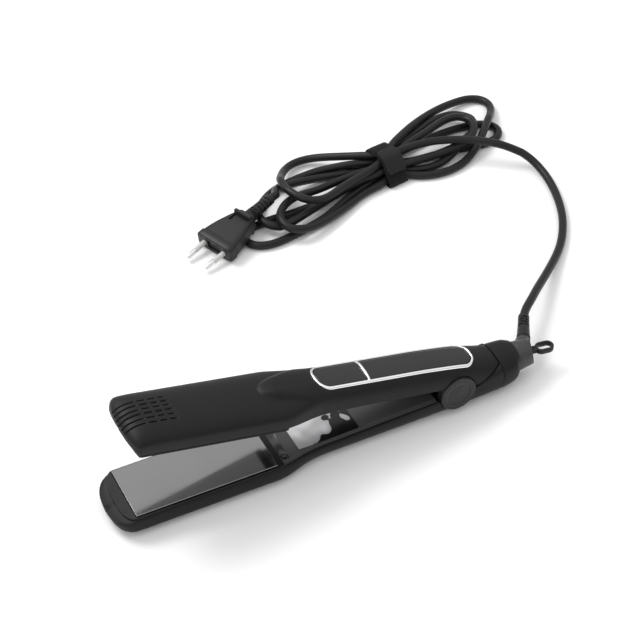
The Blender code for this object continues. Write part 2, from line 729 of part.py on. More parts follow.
def build_collar():
    count = 32
    rows = [(37.6, 15.5, 13.7, 14.1), (41.0, 15.2, 13.4, 14.3), (44.0, 14.6, 12.9, 14.7),
            (46.6, 13.7, 12.3, 15.1), (48.6, 12.6, 11.6, 15.5), (50.0, 11.0, 10.8, TAIL_Z)]
    rings = [section_ring(0.0, 15.6, 13.8, 14.1, count, COLLAR_FRONT_R)]
    rings += [section_ring(x, w, h, zc, count) for x, w, h, zc in rows]
    bore = 9.0
    for x in (50.0, 47.4):
        rings.append([(x, bore * math.cos(2 * math.pi * k / count), TAIL_Z + bore * math.sin(2 * math.pi * k / count))
                      for k in range(count)])
    for x, w, h, zc in ((47.4, 11.2, 10.4, 15.2), (44.0, 12.8, 11.4, 14.9), (38.0, 13.6, 11.9, 14.1)):
        rings.append(section_ring(x, w, h, zc, count))
    rings.append(section_ring(0.0, 13.8, 12.0, 14.1, count, COLLAR_FRONT_R))
    verts, faces = torus_loft(rings)
    return add_object("rear_collar", verts, faces, SOFT_BLACK)


def build_tail():
    origin = (50.0, 0.0, TAIL_Z)
    axis = Vector((1.0, 0.0, 0.0))
    start = Vector((0.0, 0.0, TAIL_Z))
    profile = [(57.0, 0.3), (55.5, 3.2), (43.2, 3.2), (43.2, 9.8), (45.4, 9.8), (45.4, 8.7), (50.3, 8.7),
               (50.3, 9.9), (51.0, 10.2), (60.0, 9.1), (70.0, 7.9)]
    verts, faces = revolve(start, axis, profile, 32)
    tail = add_object("swivel_tail", verts, faces, TAIL_GREY, origin)
    centre = Vector((ELBOW_X, 0.0, TAIL_Z))
    v, f = revolve(centre, RELIEF_DIR, [(0.5, 6.4), (9.4, 6.2), (RELIEF_START - GAP, 5.4)], 24)
    boolean(tail, cutter("cut_add_boss", v, f), 'UNION')
    plane = Vector((END_CUT_X, 0.0, TAIL_Z))
    v, f = revolve(plane, END_CUT_N, [(0.0, 30.0), (20.0, 30.0)], 4)
    boolean(tail, cutter("cut_tail_end", v, f))
    return tail


def build_loop():
    """Flat hanging loop on the end of the tail."""
    origin = (50.0, 0.0, TAIL_Z)
    turn = math.radians(-8.0)
    count = 28
    x0, x1, band, hw = 2.4, 15.6, 1.85, 4.4
    outer, inner = [], []
    for k in range(count):
        a = 2 * math.pi * k / count
        cx = (x1 - hw) if math.cos(a) > 0 else (x0 + hw)
        outer.append((cx + hw * math.cos(a), hw * math.sin(a)))
        inner.append((cx + (hw - band) * math.cos(a), (hw - band) * math.sin(a)))

    def place(p, z):
        c, s = math.cos(turn), math.sin(turn)
        return (END_CUT_X + 0.5 + p[0] * c - p[1] * s, p[0] * s + p[1] * c, TAIL_Z - 0.2 + z)

    rings = []
    for loop, z in ((outer, -1.8), (outer, 1.8), (inner, 1.8), (inner, -1.8)):
        rings.append([place(p, z) for p in loop])
    verts, faces = torus_loft(rings)
    loop_obj = add_object("hang_loop", verts, faces, RUBBER, origin)
    v, f = box(-0.1, 3.6, -2.2, 2.2, -1.5, 1.5)
    v = [place((x, y), z) for x, y, z in v]
    boolean(loop_obj, cutter("cut_add_stub", v, f), 'UNION')
    plane = Vector((END_CUT_X, 0.0, TAIL_Z)) + END_CUT_N * GAP
    v, f = revolve(plane, -END_CUT_N, [(0.0, 30.0), (20.0, 30.0)], 4)
    boolean(loop_obj, cutter("cut_loop_root", v, f))
    return loop_obj


def ribbed_profile(length, r0, r1, ribs, groove):
    """Tapering outer profile with a collar at its root and ring grooves towards its tip."""
    rows = [(0.0, r0 + 0.7), (1.0, r0 + 0.7), (1.5, r0)]
    first, last = length * 0.5, length - 1.2
    pitch = (last - first) / ribs
    for k in range(ribs):
        t0 = first + k * pitch
        ra = r0 + (r1 - r0) * t0 / length
        rows += [(t0, ra), (t0 + pitch * 0.15, ra - groove), (t0 + pitch * 0.4, ra - groove), (t0 + pitch * 0.55, ra)]
    rows += [(length - 0.5, r1), (length, r1 - 0.25)]
    return rows


def build_relief():
    start = Vector((ELBOW_X, 0.0, TAIL_Z)) + RELIEF_DIR * RELIEF_START
    profile = ribbed_profile(RELIEF_LEN, 4.7, 3.8, 5, 0.35)
    verts, faces = revolve(start, RELIEF_DIR, profile, 20)
    return add_object("cord_relief", verts, faces, RUBBER, (50.0, 0.0, TAIL_Z))


# ---------------------------------------------------------------- lead, tied hank and plug

def catmull(points, steps):
    """Smooth path through hand-placed points."""
    pts = [points[0] + (points[0] - points[1])] + points + [points[-1] + (points[-1] - points[-2])]
    out = []
    for i in range(1, len(pts) - 2):
        p0, p1, p2, p3 = pts[i - 1], pts[i], pts[i + 1], pts[i + 2]
        for k in range(steps):
            t = k / steps
            out.append(0.5 * ((2 * p1) + (p2 - p0) * t + (2 * p0 - 5 * p1 + 4 * p2 - p3) * t ** 2
                              + (3 * p1 - p0 - 3 * p2 + p3) * t ** 3))
    out.append(pts[-2])
    return out


def build_cord():
    tip = Vector((ELBOW_X, 0.0, TAIL_Z)) + RELIEF_DIR * (RELIEF_START + RELIEF_LEN)
    route = [tip + RELIEF_DIR * 1.2, tip + RELIEF_DIR * 4.5, Vector((87.3, 40.5, 15.2)),
             Vector((102.8, 54.6, 12.3)), Vector((116.8, 66.8, 8.9)), Vector((130.5, 79.2, 5.6)),
             Vector((141.8, 89.9, 3.8)), Vector((151.9, 101.2, 3.2)), Vector((160.1, 113.0, 3.2)),
             Vector((166.5, 124.3, 3.2)), Vector((171.6, 136.5, 3.2)), Vector((176.0, 150.0, 3.2)),
             Vector((178.8, 164.7, 3.6)), Vector((178.6, 177.0, 5.5)), Vector((175.3, 186.8, 9.0)),
             Vector((169.3, 193.6, 13.0)), Vector((161.4, 199.4, 17.0)), Vector((157.4, 202.0, 18.6))]
    path = catmull(route, 3)
    data = bpy.data.curves.new("cord_tube", 'CURVE')
    data.dimensions = '3D'
    data.bevel_depth = CORD_R * MM
    data.bevel_resolution = 2
    data.use_fill_caps = True
    data.twist_mode = 'MINIMUM'
    spline = data.splines.new('POLY')
    spline.points.add(len(path) - 1)
    for k, p in enumerate(path):
        q = (p + Vector((SHIFT_X, 0.0, 0.0))) * MM
        spline.points[k].co = (q.x, q.y, q.z, 1.0)
    data.materials.append(RUBBER)
    obj = bpy.data.objects.new("cord_tube", data)
    bpy.context.scene.collection.objects.link(obj)
    return obj


HANK_A = Vector((-19.0, 212.0, 0.0))
HANK_B = Vector((180.0, 243.8, 0.0))
TIE_S = 96.0


def hank_half(s):
    return 28.0 - 11.0 * math.exp(-((s - TIE_S) / 36.0) ** 2)


def hank_frame():
    along = (HANK_B - HANK_A).normalized()
    return along, Vector((-along.y, along.x, 0.0)), (HANK_B - HANK_A).length


def build_hank():
    along, side, length = hank_frame()
    loop = []
    r0, r1 = hank_half(0.0), hank_half(length)
    for k in range(9):
        a = math.pi / 2 + math.pi * k / 8
        loop.append((r0 + r0 * math.cos(a), r0 * math.sin(a)))
    for s in (45.0, 65.0, 82.0, 96.0, 110.0, 128.0, 148.0):
        loop.append((s, -hank_half(s)))
    for k in range(9):
        a = -math.pi / 2 + math.pi * k / 8
        loop.append((length - r1 + r1 * math.cos(a), r1 * math.sin(a)))
    for s in (148.0, 128.0, 110.0, 96.0, 82.0, 65.0, 45.0):
        loop.append((s, hank_half(s)))
    rings = []
    for z, inset in ((2.4, 4.5), (6.8, 0.0), (17.4, 0.0), (21.8, 4.5)):
        ring = []
        for s, t in loop:
            ss = r0 + (s - r0) * 1.0 if r0 < s < length - r1 else s
            scale = 1.0 - inset / max(abs(t), 14.0)
            if s < r0:
                ss = r0 + (s - r0) * (1.0 - inset / r0)
            if s > length - r1:
                ss = length - r1 + (s - length + r1) * (1.0 - inset / r1)
            p = HANK_A + along * ss + side * (t * scale)
            ring.append((p.x, p.y, z))
        rings.append(ring)
    verts, faces = loft(rings)
    return add_object("cord_hank", verts, faces, RUBBER)


def build_tie():
    """Hook-and-loop strap round the waist of the hank."""
    along, side, length = hank_frame()
    half = hank_half(TIE_S) + 1.9
    count = 24
    rings = []
    for s, grow in ((-7.5, 0.0), (7.5, 0.0), (7.5, 1.5), (-7.5, 1.5)):
        ring = []
        for k in range(count):
            a = 2 * math.pi * k / count
            c, n = math.cos(a), math.sin(a)
            y = (half + grow) * math.copysign(abs(c) ** 0.42, c)
            z = 12.1 + (10.2 + grow) * math.copysign(abs(n) ** 0.42, n)
            p = HANK_A + along * (TIE_S + s) + side * y
            ring.append((p.x, p.y, z))
        rings.append(ring)
    verts, faces = torus_loft(rings)
    return add_object("cord_tie", verts, faces, FELT)


def plug_axes():
    back = Vector((math.cos(PLUG_AZ) * math.cos(PLUG_TILT), math.sin(PLUG_AZ) * math.cos(PLUG_TILT),
                   math.sin(PLUG_TILT)))
    side = Vector((-math.sin(PLUG_AZ), math.cos(PLUG_AZ), 0.0))
    return back, side, back.cross(side)


def build_plug():
    back, side, up = plug_axes()

    def section(t, hw, hh):
        ring = []
        for k in range(24):
            a = 2 * math.pi * k / 24
            c, s = math.cos(a), math.sin(a)
            ring.append(tuple(PLUG_BASE + back * t + side * (hw * math.copysign(abs(c) ** 0.55, c))
                              + up * (hh * math.copysign(abs(s) ** 0.45, s))))
        return ring

    rows = [(0.0, 15.6, 5.6), (0.8, 16.4, 6.4), (9.0, 16.4, 6.6), (11.0, 15.6, 6.4), (22.0, 12.8, 6.4),
            (33.0, 8.0, 6.2), (36.0, 6.8, 5.6)]
    verts, faces = loft([section(*row) for row in rows])
    add_object("plug_body", verts, faces, RUBBER)
    tip = -back
    for k, sign in enumerate((-1.0, 1.0)):
        foot = PLUG_BASE + side * (sign * PIN_SPREAD)
        lean = (tip - side * (sign * 0.03)).normalized()
        sleeve = [(0.3, 1.9), (10.0, 1.9), (10.0, 1.35), (0.3, 1.35)]
        v, f = revolve(foot, lean, sleeve, 16, closed=True)
        add_object("pin_sleeve_%d" % (k + 1), v, f, SLEEVE)
        pin = [(0.3, 1.2), (10.2, 1.2), (10.2, 2.0), (PIN_LEN - 1.2, 2.0), (PIN_LEN, 1.1)]
        v, f = revolve(foot, lean, pin, 16)
        add_object("plug_pin_%d" % (k + 1), v, f, CHROME)
    start = PLUG_BASE + back * 36.3
    profile = [(0.0, 5.0), (1.2, 5.2)]
    for k in range(5):
        t = 3.0 + 3.7 * k
        r = 5.0 - 0.22 * k
        profile += [(t, r), (t + 0.4, r - 0.8), (t + 1.5, r - 0.8), (t + 1.9, r)]
    profile += [(23.0, 3.9), (23.6, 3.6)]
    verts, faces = revolve(start, back, profile, 18)
    add_object("plug_relief", verts, faces, RUBBER)


clear_scene()
SOFT_BLACK = material("soft_touch_black", (0.028, 0.028, 0.029), 0.55)
SATIN_GREY = material("satin_dark_grey", (0.05, 0.05, 0.052), 0.35)
GLOSS_BLACK = material("gloss_black", (0.012, 0.012, 0.013), 0.08)
PLATE_METAL = material("titanium_plate", (0.30, 0.30, 0.30), 0.16, 0.9)
CHROME = material("chrome", (0.86, 0.86, 0.87), 0.08, 1.0)
DISC_GREY = material("disc_grey", (0.075, 0.075, 0.077), 0.42)
TAIL_GREY = material("tail_grey", (0.055, 0.055, 0.057), 0.42)
STEEL = material("steel", (0.42, 0.42, 0.43), 0.35, 1.0)
CERAMIC = material("ceramic_heater", (0.62, 0.58, 0.52), 0.6)
SILICONE = material("silicone_pad", (0.55, 0.16, 0.10), 0.6)
BOARD = material("circuit_board", (0.03, 0.16, 0.06), 0.5)
LABEL = material("label_foil", (0.55, 0.55, 0.56), 0.35)
RUBBER = material("cord_rubber", (0.022, 0.022, 0.023), 0.5)
FELT = material("tie_felt", (0.010, 0.010, 0.011), 0.95)
SLEEVE = material("pin_sleeve", (0.55, 0.55, 0.54), 0.45)
CUT = material("cutter", (0.8, 0.1, 0.1), 0.5)

build_lower_shell()
build_arm_insides("lower", LOWER_ROWS, (0.0, 0.0, 0.0), lower_place, LOWER_NOSE)
build_label()
build_upper_shell()
build_arm_insides("upper", UPPER_ROWS, HINGE_POINT, lambda x, y, d: arm_point(*upper_place(x, y, d)),
                  UPPER_NOSE)
build_display()
build_hinge()
build_collar()
build_tail()
build_loop()
build_relief()
build_cord()
build_hank()
build_tie()
build_plug()
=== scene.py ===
import math

import bmesh
import bpy
import numpy as np
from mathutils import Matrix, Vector


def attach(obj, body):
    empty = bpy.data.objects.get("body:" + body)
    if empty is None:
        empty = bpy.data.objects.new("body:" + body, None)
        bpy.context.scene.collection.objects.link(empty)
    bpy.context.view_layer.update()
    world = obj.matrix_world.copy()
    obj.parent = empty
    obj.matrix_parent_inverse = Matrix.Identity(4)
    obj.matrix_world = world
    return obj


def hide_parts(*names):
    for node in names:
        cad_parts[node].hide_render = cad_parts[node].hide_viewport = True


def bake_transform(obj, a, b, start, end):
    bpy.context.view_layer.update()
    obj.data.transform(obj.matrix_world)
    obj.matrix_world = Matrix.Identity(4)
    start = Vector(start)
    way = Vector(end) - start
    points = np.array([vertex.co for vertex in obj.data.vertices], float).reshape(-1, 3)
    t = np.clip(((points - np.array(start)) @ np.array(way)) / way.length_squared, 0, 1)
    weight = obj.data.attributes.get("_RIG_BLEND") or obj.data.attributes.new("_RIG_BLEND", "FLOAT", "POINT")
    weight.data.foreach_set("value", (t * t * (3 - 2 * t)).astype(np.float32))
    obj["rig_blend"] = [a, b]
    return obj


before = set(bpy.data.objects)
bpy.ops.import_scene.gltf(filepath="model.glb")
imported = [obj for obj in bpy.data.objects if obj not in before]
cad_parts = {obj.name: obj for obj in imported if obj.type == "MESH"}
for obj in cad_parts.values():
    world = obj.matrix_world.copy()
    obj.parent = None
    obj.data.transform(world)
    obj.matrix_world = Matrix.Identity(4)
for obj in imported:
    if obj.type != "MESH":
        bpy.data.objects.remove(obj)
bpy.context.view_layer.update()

# Lengths below are millimetres in the iron's own frame: X is 0 at the hinge axis and grows towards the
# cord, Y is the width, Z is 0 on the table. place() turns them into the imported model's metres.
MM = 0.001
SHIFT_X = 79.25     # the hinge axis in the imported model
HINGE_Z = 18.1
OPEN = math.radians(12.3)
PLATE_Z = 17.5      # face of the lower plate
EDGE_GAP = 0.3      # from the hinge axis down to the upper plate's face, closed
WALL = 1.6
POWER = 2.5         # roundness of the casings' sections
TAIL_Z = 15.85      # axis of the swivelling tail
ELBOW = np.array([58.3, 0.0, TAIL_Z])
RELIEF_DIR = np.array([0.5239, 0.8518, 0.0])
RELIEF_START = 11.9
RELIEF_LEN = 24.0
CORD_R = 3.0


def place(p):
    return ((p[0] + SHIFT_X) * MM, p[1] * MM, p[2] * MM)


def arm_point(x, y, v):
    """A point of the closed upper arm, v above the hinge axis, turned to the open rest pose."""
    c, s = math.cos(OPEN), math.sin(OPEN)
    return (x * c + v * s, y, -x * s + v * c + HINGE_Z)


def low_point(x, y, d):
    return (x, y, PLATE_Z - d)


def up_point(x, y, d):
    return arm_point(x, y, d - EDGE_GAP)


# ---------------------------------------------------------------- camera, floor and light

CAMERA_AT = (-0.4061, -0.7855, 0.9134)
CAMERA_LOOK = (0.3284, 0.6613, -0.6744)
CAMERA_LENS = 112.63
FLOOR_HALF = 4.0
HORIZON_LIGHT, SKY_LIGHT, SKY_FROM = 0.34, 1.02, 0.75


def aimed(name, data, location, direction):
    """Object for a camera or a light that looks along direction."""
    obj = bpy.data.objects.new(name, data)
    bpy.context.scene.collection.objects.link(obj)
    obj.location = location
    obj.rotation_mode = 'QUATERNION'
    obj.rotation_quaternion = direction.to_track_quat('-Z', 'Y')
    return obj


def make_camera():
    data = bpy.data.cameras.new("camera")
    data.sensor_width = 36.0
    data.lens = CAMERA_LENS
    data.clip_start = 0.05
    data.clip_end = 20.0
    bpy.context.scene.camera = aimed("camera", data, CAMERA_AT, Vector(CAMERA_LOOK))


def area_light(name, location, target, size, power):
    data = bpy.data.lights.new(name, 'AREA')
    data.shape = 'RECTANGLE'
    data.size, data.size_y = size
    data.energy = power
    aimed(name, data, location, Vector(target) - Vector(location))


def make_floor():
    h = FLOOR_HALF
    mesh = bpy.data.meshes.new("floor")
    mesh.from_pydata([(-h, -h, 0), (h, -h, 0), (h, h, 0), (-h, h, 0)], [], [(0, 1, 2, 3)])
    floor = bpy.data.objects.new("floor", mesh)
    bpy.context.scene.collection.objects.link(floor)
    n = Nodes("floor_white")
    n.set(Base_Color=(0.93, 0.93, 0.93, 1.0), Roughness=0.9, Specular_IOR_Level=0.1)
    mesh.materials.append(n.mat)


def make_light():
    """White surroundings, dimmer towards the horizon, and two soft lamps."""
    world = bpy.data.worlds.new("studio")
    world.use_nodes = True
    tree = world.node_tree
    coord = tree.nodes.new("ShaderNodeTexCoord")
    split = tree.nodes.new("ShaderNodeSeparateXYZ")
    fall = tree.nodes.new("ShaderNodeMapRange")
    fall.inputs["From Min"].default_value = 0.0
    fall.inputs["From Max"].default_value = SKY_FROM
    fall.inputs["To Min"].default_value = HORIZON_LIGHT
    fall.inputs["To Max"].default_value = SKY_LIGHT
    tree.nodes["Background"].inputs["Color"].default_value = (1.0, 1.0, 1.0, 1.0)
    tree.links.new(coord.outputs["Generated"], split.inputs[0])
    tree.links.new(split.outputs["Z"], fall.inputs["Value"])
    tree.links.new(fall.outputs["Result"], tree.nodes["Background"].inputs["Strength"])
    bpy.context.scene.world = world
    view = bpy.context.scene.view_settings
    view.view_transform = 'Standard'
    view.look = 'None'
    area_light("key", (-0.55, 0.95, 1.35), (0.0, 0.08, 0.0), (0.9, 0.6), 15.0)
    area_light("fill", (-1.2, -0.6, 0.9), (0.0, 0.05, 0.0), (1.0, 1.0), 3.0)


# ---------------------------------------------------------------- materials

class Nodes:
    """Short names for building a material's node tree."""

    def __init__(self, name):
        self.mat = bpy.data.materials.new(name)
        self.mat.use_nodes = True
        self.tree = self.mat.node_tree
        self.bsdf = self.tree.nodes["Principled BSDF"]

    def add(self, kind, **inputs):
        node = self.tree.nodes.new(kind)
        for key, value in inputs.items():
            node.inputs[key.replace("_", " ")].default_value = value
        return node

    def set(self, **inputs):
        for key, value in inputs.items():
            self.bsdf.inputs[key.replace("_", " ")].default_value = value

    def link(self, a, out, b, into):
        self.tree.links.new(a.outputs[out], b.inputs[into])

    def noise(self, scale, detail=3.0, stretch=None, rough=0.5):
        coord = self.add("ShaderNodeTexCoord")
        node = self.add("ShaderNodeTexNoise", Scale=scale, Detail=detail, Roughness=rough)
        if stretch:
            mapping = self.add("ShaderNodeMapping", Scale=stretch)
            self.link(coord, "Object", mapping, "Vector")
            self.link(mapping, "Vector", node, "Vector")
        else:
            self.link(coord, "Object", node, "Vector")
        return node

    def span(self, node, out, low, high, low_in=0.3, high_in=0.7):
        m = self.add("ShaderNodeMapRange", From_Min=low_in, From_Max=high_in, To_Min=low, To_Max=high)
        self.link(node, out, m, "Value")
        return m

    def ramp(self, node, out, stops):
        r = self.add("ShaderNodeValToRGB")
        marks = r.color_ramp.elements
        for k, (pos, rgb) in enumerate(stops):
            mark = marks[k] if k < 2 else marks.new(pos)
            mark.position = pos
            mark.color = tuple(rgb) + (1.0,)
        self.link(node, out, r, "Fac")
        return r

    def colour(self, node, out, stops):
        self.link(self.ramp(node, out, stops), "Color", self.bsdf, "Base Color")

    def gloss(self, node, low, high):
        self.link(self.span(node, "Fac", low, high), "Result", self.bsdf, "Roughness")

    def bump(self, node, out, strength, distance, chain=None):
        b = self.add("ShaderNodeBump", Strength=strength, Distance=distance)
        self.link(node, out, b, "Height")
        if chain:
            self.link(chain, "Normal", b, "Normal")
        self.link(b, "Normal", self.bsdf, "Normal")
        return b


def grained(name, rgb, rough, spread=0.05, grain=2600.0, depth=0.00004, sheen=0.0, wear=0.25, metal=0.0,
            specular=0.5, strength=0.35):
    """Moulded plastic, rubber or coated metal: mottled colour, uneven gloss, fine grain and soft wear."""
    n = Nodes(name)
    dark = [c * (1.0 - wear * 0.6) for c in rgb]
    pale = [min(1.0, c * (1.0 + wear)) for c in rgb]
    n.colour(n.noise(38.0, 4.0), "Fac", [(0.35, dark), (0.68, pale)])
    n.gloss(n.noise(16.0, 5.0, (1.0, 2.2, 1.0)), max(0.02, rough - spread), rough + spread)
    fine = n.bump(n.noise(grain, 2.0), "Fac", strength, depth)
    n.bump(n.noise(60.0, 2.0), "Fac", 0.10, 0.0002, fine)
    n.set(Metallic=metal, Sheen_Weight=sheen, Specular_IOR_Level=specular)
    return n.mat


def plate_coating():
    """Dark metallic coating with faint polishing lines along the plate."""
    n = Nodes("coated_plate")
    n.colour(n.noise(9.0, 3.0), "Fac", [(0.3, (0.250, 0.250, 0.252)), (0.7, (0.285, 0.285, 0.287))])
    n.gloss(n.noise(30.0, 4.0, (1.0, 6.0, 1.0)), 0.09, 0.15)
    n.bump(n.noise(900.0, 2.0, (0.03, 1.0, 1.0)), "Fac", 0.05, 0.00002)
    n.set(Metallic=1.0)
    return n.mat


def bright_chrome():
    n = Nodes("bright_chrome")
    n.colour(n.noise(50.0, 2.0), "Fac", [(0.3, (0.88, 0.88, 0.89)), (0.7, (0.96, 0.96, 0.96))])
    n.gloss(n.noise(120.0, 3.0), 0.10, 0.20)
    n.bump(n.noise(300.0, 2.0), "Fac", 0.04, 0.00002)
    n.set(Metallic=1.0)
    return n.mat


def gloss_window(name, rgb):
    """Dark polished plastic with a thin clear coat."""
    n = Nodes(name)
    n.colour(n.noise(20.0, 2.0), "Fac", [(0.3, [c * 0.8 for c in rgb]), (0.7, [c * 1.3 for c in rgb])])
    n.gloss(n.noise(40.0, 4.0, (1.0, 3.0, 1.0)), 0.07, 0.13)
    n.bump(n.noise(25.0, 1.0), "Fac", 0.03, 0.0002)
    n.set(Specular_IOR_Level=0.45, Coat_Weight=0.15, Coat_Roughness=0.04)
    return n.mat


def woven_hook_loop():
    n = Nodes("hook_and_loop")
    pile = n.noise(1500.0, 4.0)
    n.colour(pile, "Fac", [(0.35, (0.001, 0.001, 0.001)), (0.75, (0.009, 0.009, 0.0095))])
    first = n.bump(pile, "Fac", 0.9, 0.0006)
    n.bump(n.noise(420.0, 3.0), "Fac", 0.7, 0.0008, first)
    n.set(Roughness=0.97, Sheen_Weight=0.06, Sheen_Roughness=0.6, Specular_IOR_Level=0.2)
    return n.mat


def woven_strap():
    n = Nodes("woven_strap")
    coord = n.add("ShaderNodeTexCoord")
    wave = n.add("ShaderNodeTexWave", Scale=900.0, Distortion=1.5, Detail=1.0)
    n.link(coord, "Object", wave, "Vector")
    n.colour(wave, "Fac", [(0.2, (0.004, 0.004, 0.004)), (0.8, (0.016, 0.016, 0.016))])
    n.bump(wave, "Fac", 0.6, 0.0003)
    n.set(Roughness=0.8, Sheen_Weight=0.06, Specular_IOR_Level=0.3)
    return n.mat


def label_film():
    """Silver film with a black field along its near side, divided from it by soft waves."""
    n = Nodes("label_film")
    coord = n.add("ShaderNodeTexCoord")
    split = n.add("ShaderNodeSeparateXYZ")
    n.link(coord, "Object", split, 0)
    across = n.span(split, "Y", 0.08, 0.72, -0.0108, 0.0108)
    along = n.span(split, "X", 0.42, 0.0, -0.0328, 0.0100)
    total = n.add("ShaderNodeMath")
    n.link(across, "Result", total, 0)
    n.link(along, "Result", total, 1)
    blobs = n.noise(95.0, 1.2, (1.0, 0.8, 1.0), 0.35)
    drift = n.span(blobs, "Fac", -0.34, 0.34)
    field = n.add("ShaderNodeMath")
    n.link(total, 0, field, 0)
    n.link(drift, "Result", field, 1)
    n.colour(field, 0, [(0.0, (0.003, 0.003, 0.003)), (0.50, (0.003, 0.003, 0.003)),
                        (0.515, (0.40, 0.40, 0.41)), (1.0, (0.66, 0.66, 0.67))])
    n.gloss(n.noise(80.0, 3.0), 0.28, 0.42)
    n.bump(n.noise(500.0, 2.0), "Fac", 0.1, 0.00003)
    n.set(Metallic=0.3)
    return n.mat


def board_green():
    n = Nodes("board_green")
    coord = n.add("ShaderNodeTexCoord")
    bricks = n.add("ShaderNodeTexBrick", Scale=220.0, Color1=(0.015, 0.11, 0.035, 1.0),
                   Color2=(0.02, 0.16, 0.05, 1.0), Mortar=(0.35, 0.27, 0.10, 1.0), Mortar_Size=0.03)
    n.link(coord, "Object", bricks, "Vector")
    n.link(bricks, "Color", n.bsdf, "Base Color")
    n.bump(bricks, "Fac", 0.3, 0.0001)
    n.set(Roughness=0.4)
    return n.mat


M = {}


# name, colour, roughness, its spread, fineness of the grain, its depth, sheen, wear
GRAINED = {
    "satin": ("satin_dark_grey", (0.045, 0.045, 0.046), 0.34, 0.05, 1800.0, 0.00003, 0.0, 0.15),
    "tail": ("tail_grey", (0.030, 0.030, 0.0305), 0.42, 0.05, 1400.0, 0.00004, 0.05, 0.18),
    "sleeve": ("pin_sleeve_grey", (0.50, 0.50, 0.49), 0.42, 0.05, 1200.0, 0.00003, 0.0, 0.08),
    "ceramic": ("ceramic_heater", (0.62, 0.58, 0.52), 0.6, 0.05, 1500.0, 0.00004, 0.0, 0.1),
    "silicone": ("silicone_red", (0.50, 0.13, 0.09), 0.55, 0.05, 1500.0, 0.00004, 0.0, 0.15)}
# the same, and then how strongly the surface reflects
DULL = {
    "disc": ("disc_grey", (0.012, 0.012, 0.0125), 0.38, 0.05, 1500.0, 0.00003, 0.02, 0.15, 0.4),
    "cord": ("cord_rubber", (0.006, 0.006, 0.0062), 0.42, 0.05, 2200.0, 0.00004, 0.02, 0.2, 0.3),
    "rubber": ("moulded_rubber", (0.007, 0.007, 0.0072), 0.46, 0.05, 2000.0, 0.00004, 0.02, 0.2, 0.35)}
METALS = {
    "steel": ("zinc_steel", (0.42, 0.42, 0.43), 0.33, 0.06, 900.0, 0.00003, 0.0, 0.2),
    "screw": ("dark_screw", (0.09, 0.09, 0.092), 0.35, 0.06, 900.0, 0.00003, 0.0, 0.2),
    "pin": ("nickel_pin", (0.80, 0.80, 0.80), 0.18, 0.05, 700.0, 0.00002, 0.0, 0.06)}


def make_materials():
    M["soft"] = grained("soft_touch_black", (0.0035, 0.0035, 0.0037), 0.50, 0.05, 3200.0, 0.00003, 0.03, 0.18,
                        specular=0.24, strength=0.25)
    for key, values in GRAINED.items():
        M[key] = grained(*values)
    for key, values in DULL.items():
        M[key] = grained(*values[:-1], specular=values[-1])
    for key, values in METALS.items():
        M[key] = grained(*values, metal=1.0)
    M["window"] = gloss_window("gloss_window", (0.006, 0.006, 0.0062))
    M["plate"] = plate_coating()
    M["chrome"] = bright_chrome()
    M["felt"] = woven_hook_loop()
    M["strap"] = woven_strap()
    M["label"] = label_film()
    M["board"] = board_green()


# ---------------------------------------------------------------- mesh helpers

def finish_mesh(obj, mat, sharp=32.0):
    mesh = obj.data
    mesh.materials.clear()
    mesh.materials.append(mat)
    mesh.polygons.foreach_set("use_smooth", [True] * len(mesh.polygons))
    mesh.set_sharp_from_angle(angle=math.radians(sharp))
    mesh.update()


def new_piece(name, verts, faces, mat, sharp=32.0, weld=True):
    """Mesh object from points in the iron's millimetres."""
    mesh = bpy.data.meshes.new(name)
    mesh.from_pydata([place(v) for v in verts], [], faces)
    obj = bpy.data.objects.new(name, mesh)
    bpy.context.scene.collection.objects.link(obj)
    bm = bmesh.new()
    bm.from_mesh(mesh)
    if weld:
        bmesh.ops.remove_doubles(bm, verts=bm.verts, dist=0.000004)
    bmesh.ops.recalc_face_normals(bm, faces=bm.faces)
    bm.to_mesh(mesh)
    bm.free()
    finish_mesh(obj, mat, sharp)
    return obj


def bevel(obj, width, angle=40.0, segments=2):
    m = obj.modifiers.new("bevel", 'BEVEL')
    m.width = width * MM
    m.segments = segments
    m.limit_method = 'ANGLE'
    m.angle_limit = math.radians(angle)
    m.harden_normals = False


def bake(obj):
    dg = bpy.context.evaluated_depsgraph_get()
    made = bpy.data.meshes.new_from_object(obj.evaluated_get(dg))
    obj.modifiers.clear()
    obj.data = made


def combine(obj, operation, verts, faces):
    """Cuts a closed body out of obj, or joins one to it, at once."""
    tool = new_piece("tool_body", verts, faces, obj.data.materials[0])
    m = obj.modifiers.new("combine", 'BOOLEAN')
    m.operation = operation
    m.solver = 'EXACT'
    m.object = tool
    bake(obj)
    bpy.data.objects.remove(tool, do_unlink=True)


def subtract(obj, verts, faces):
    combine(obj, 'DIFFERENCE', verts, faces)


def add_body(obj, verts, faces):
    combine(obj, 'UNION', verts, faces)


def loft(rings, caps=True):
    n = len(rings[0])
    verts = [p for r in rings for p in r]
    faces = []
    for i in range(len(rings) - 1):
        for k in range(n):
            a, b = i * n + k, i * n + (k + 1) % n
            faces.append((a, b, b + n, a + n))
    if caps:
        faces.append(tuple(reversed(range(n))))
        faces.append(tuple((len(rings) - 1) * n + k for k in range(n)))
    return verts, faces


def ring_loft(rings):
    """Rings joined end to end, for a hollow or hoop-shaped body."""
    verts, faces = loft(rings, caps=False)
    n, rows = len(rings[0]), len(rings)
    for k in range(n):
        a, b = (rows - 1) * n + k, (rows - 1) * n + (k + 1) % n
        faces.append((a, b, (k + 1) % n, k))
    return verts, faces


def join(parts):
    verts, faces = [], []
    for v, f in parts:
        off = len(verts)
        verts += list(v)
        faces += [tuple(off + k for k in face) for face in f]
    return verts, faces


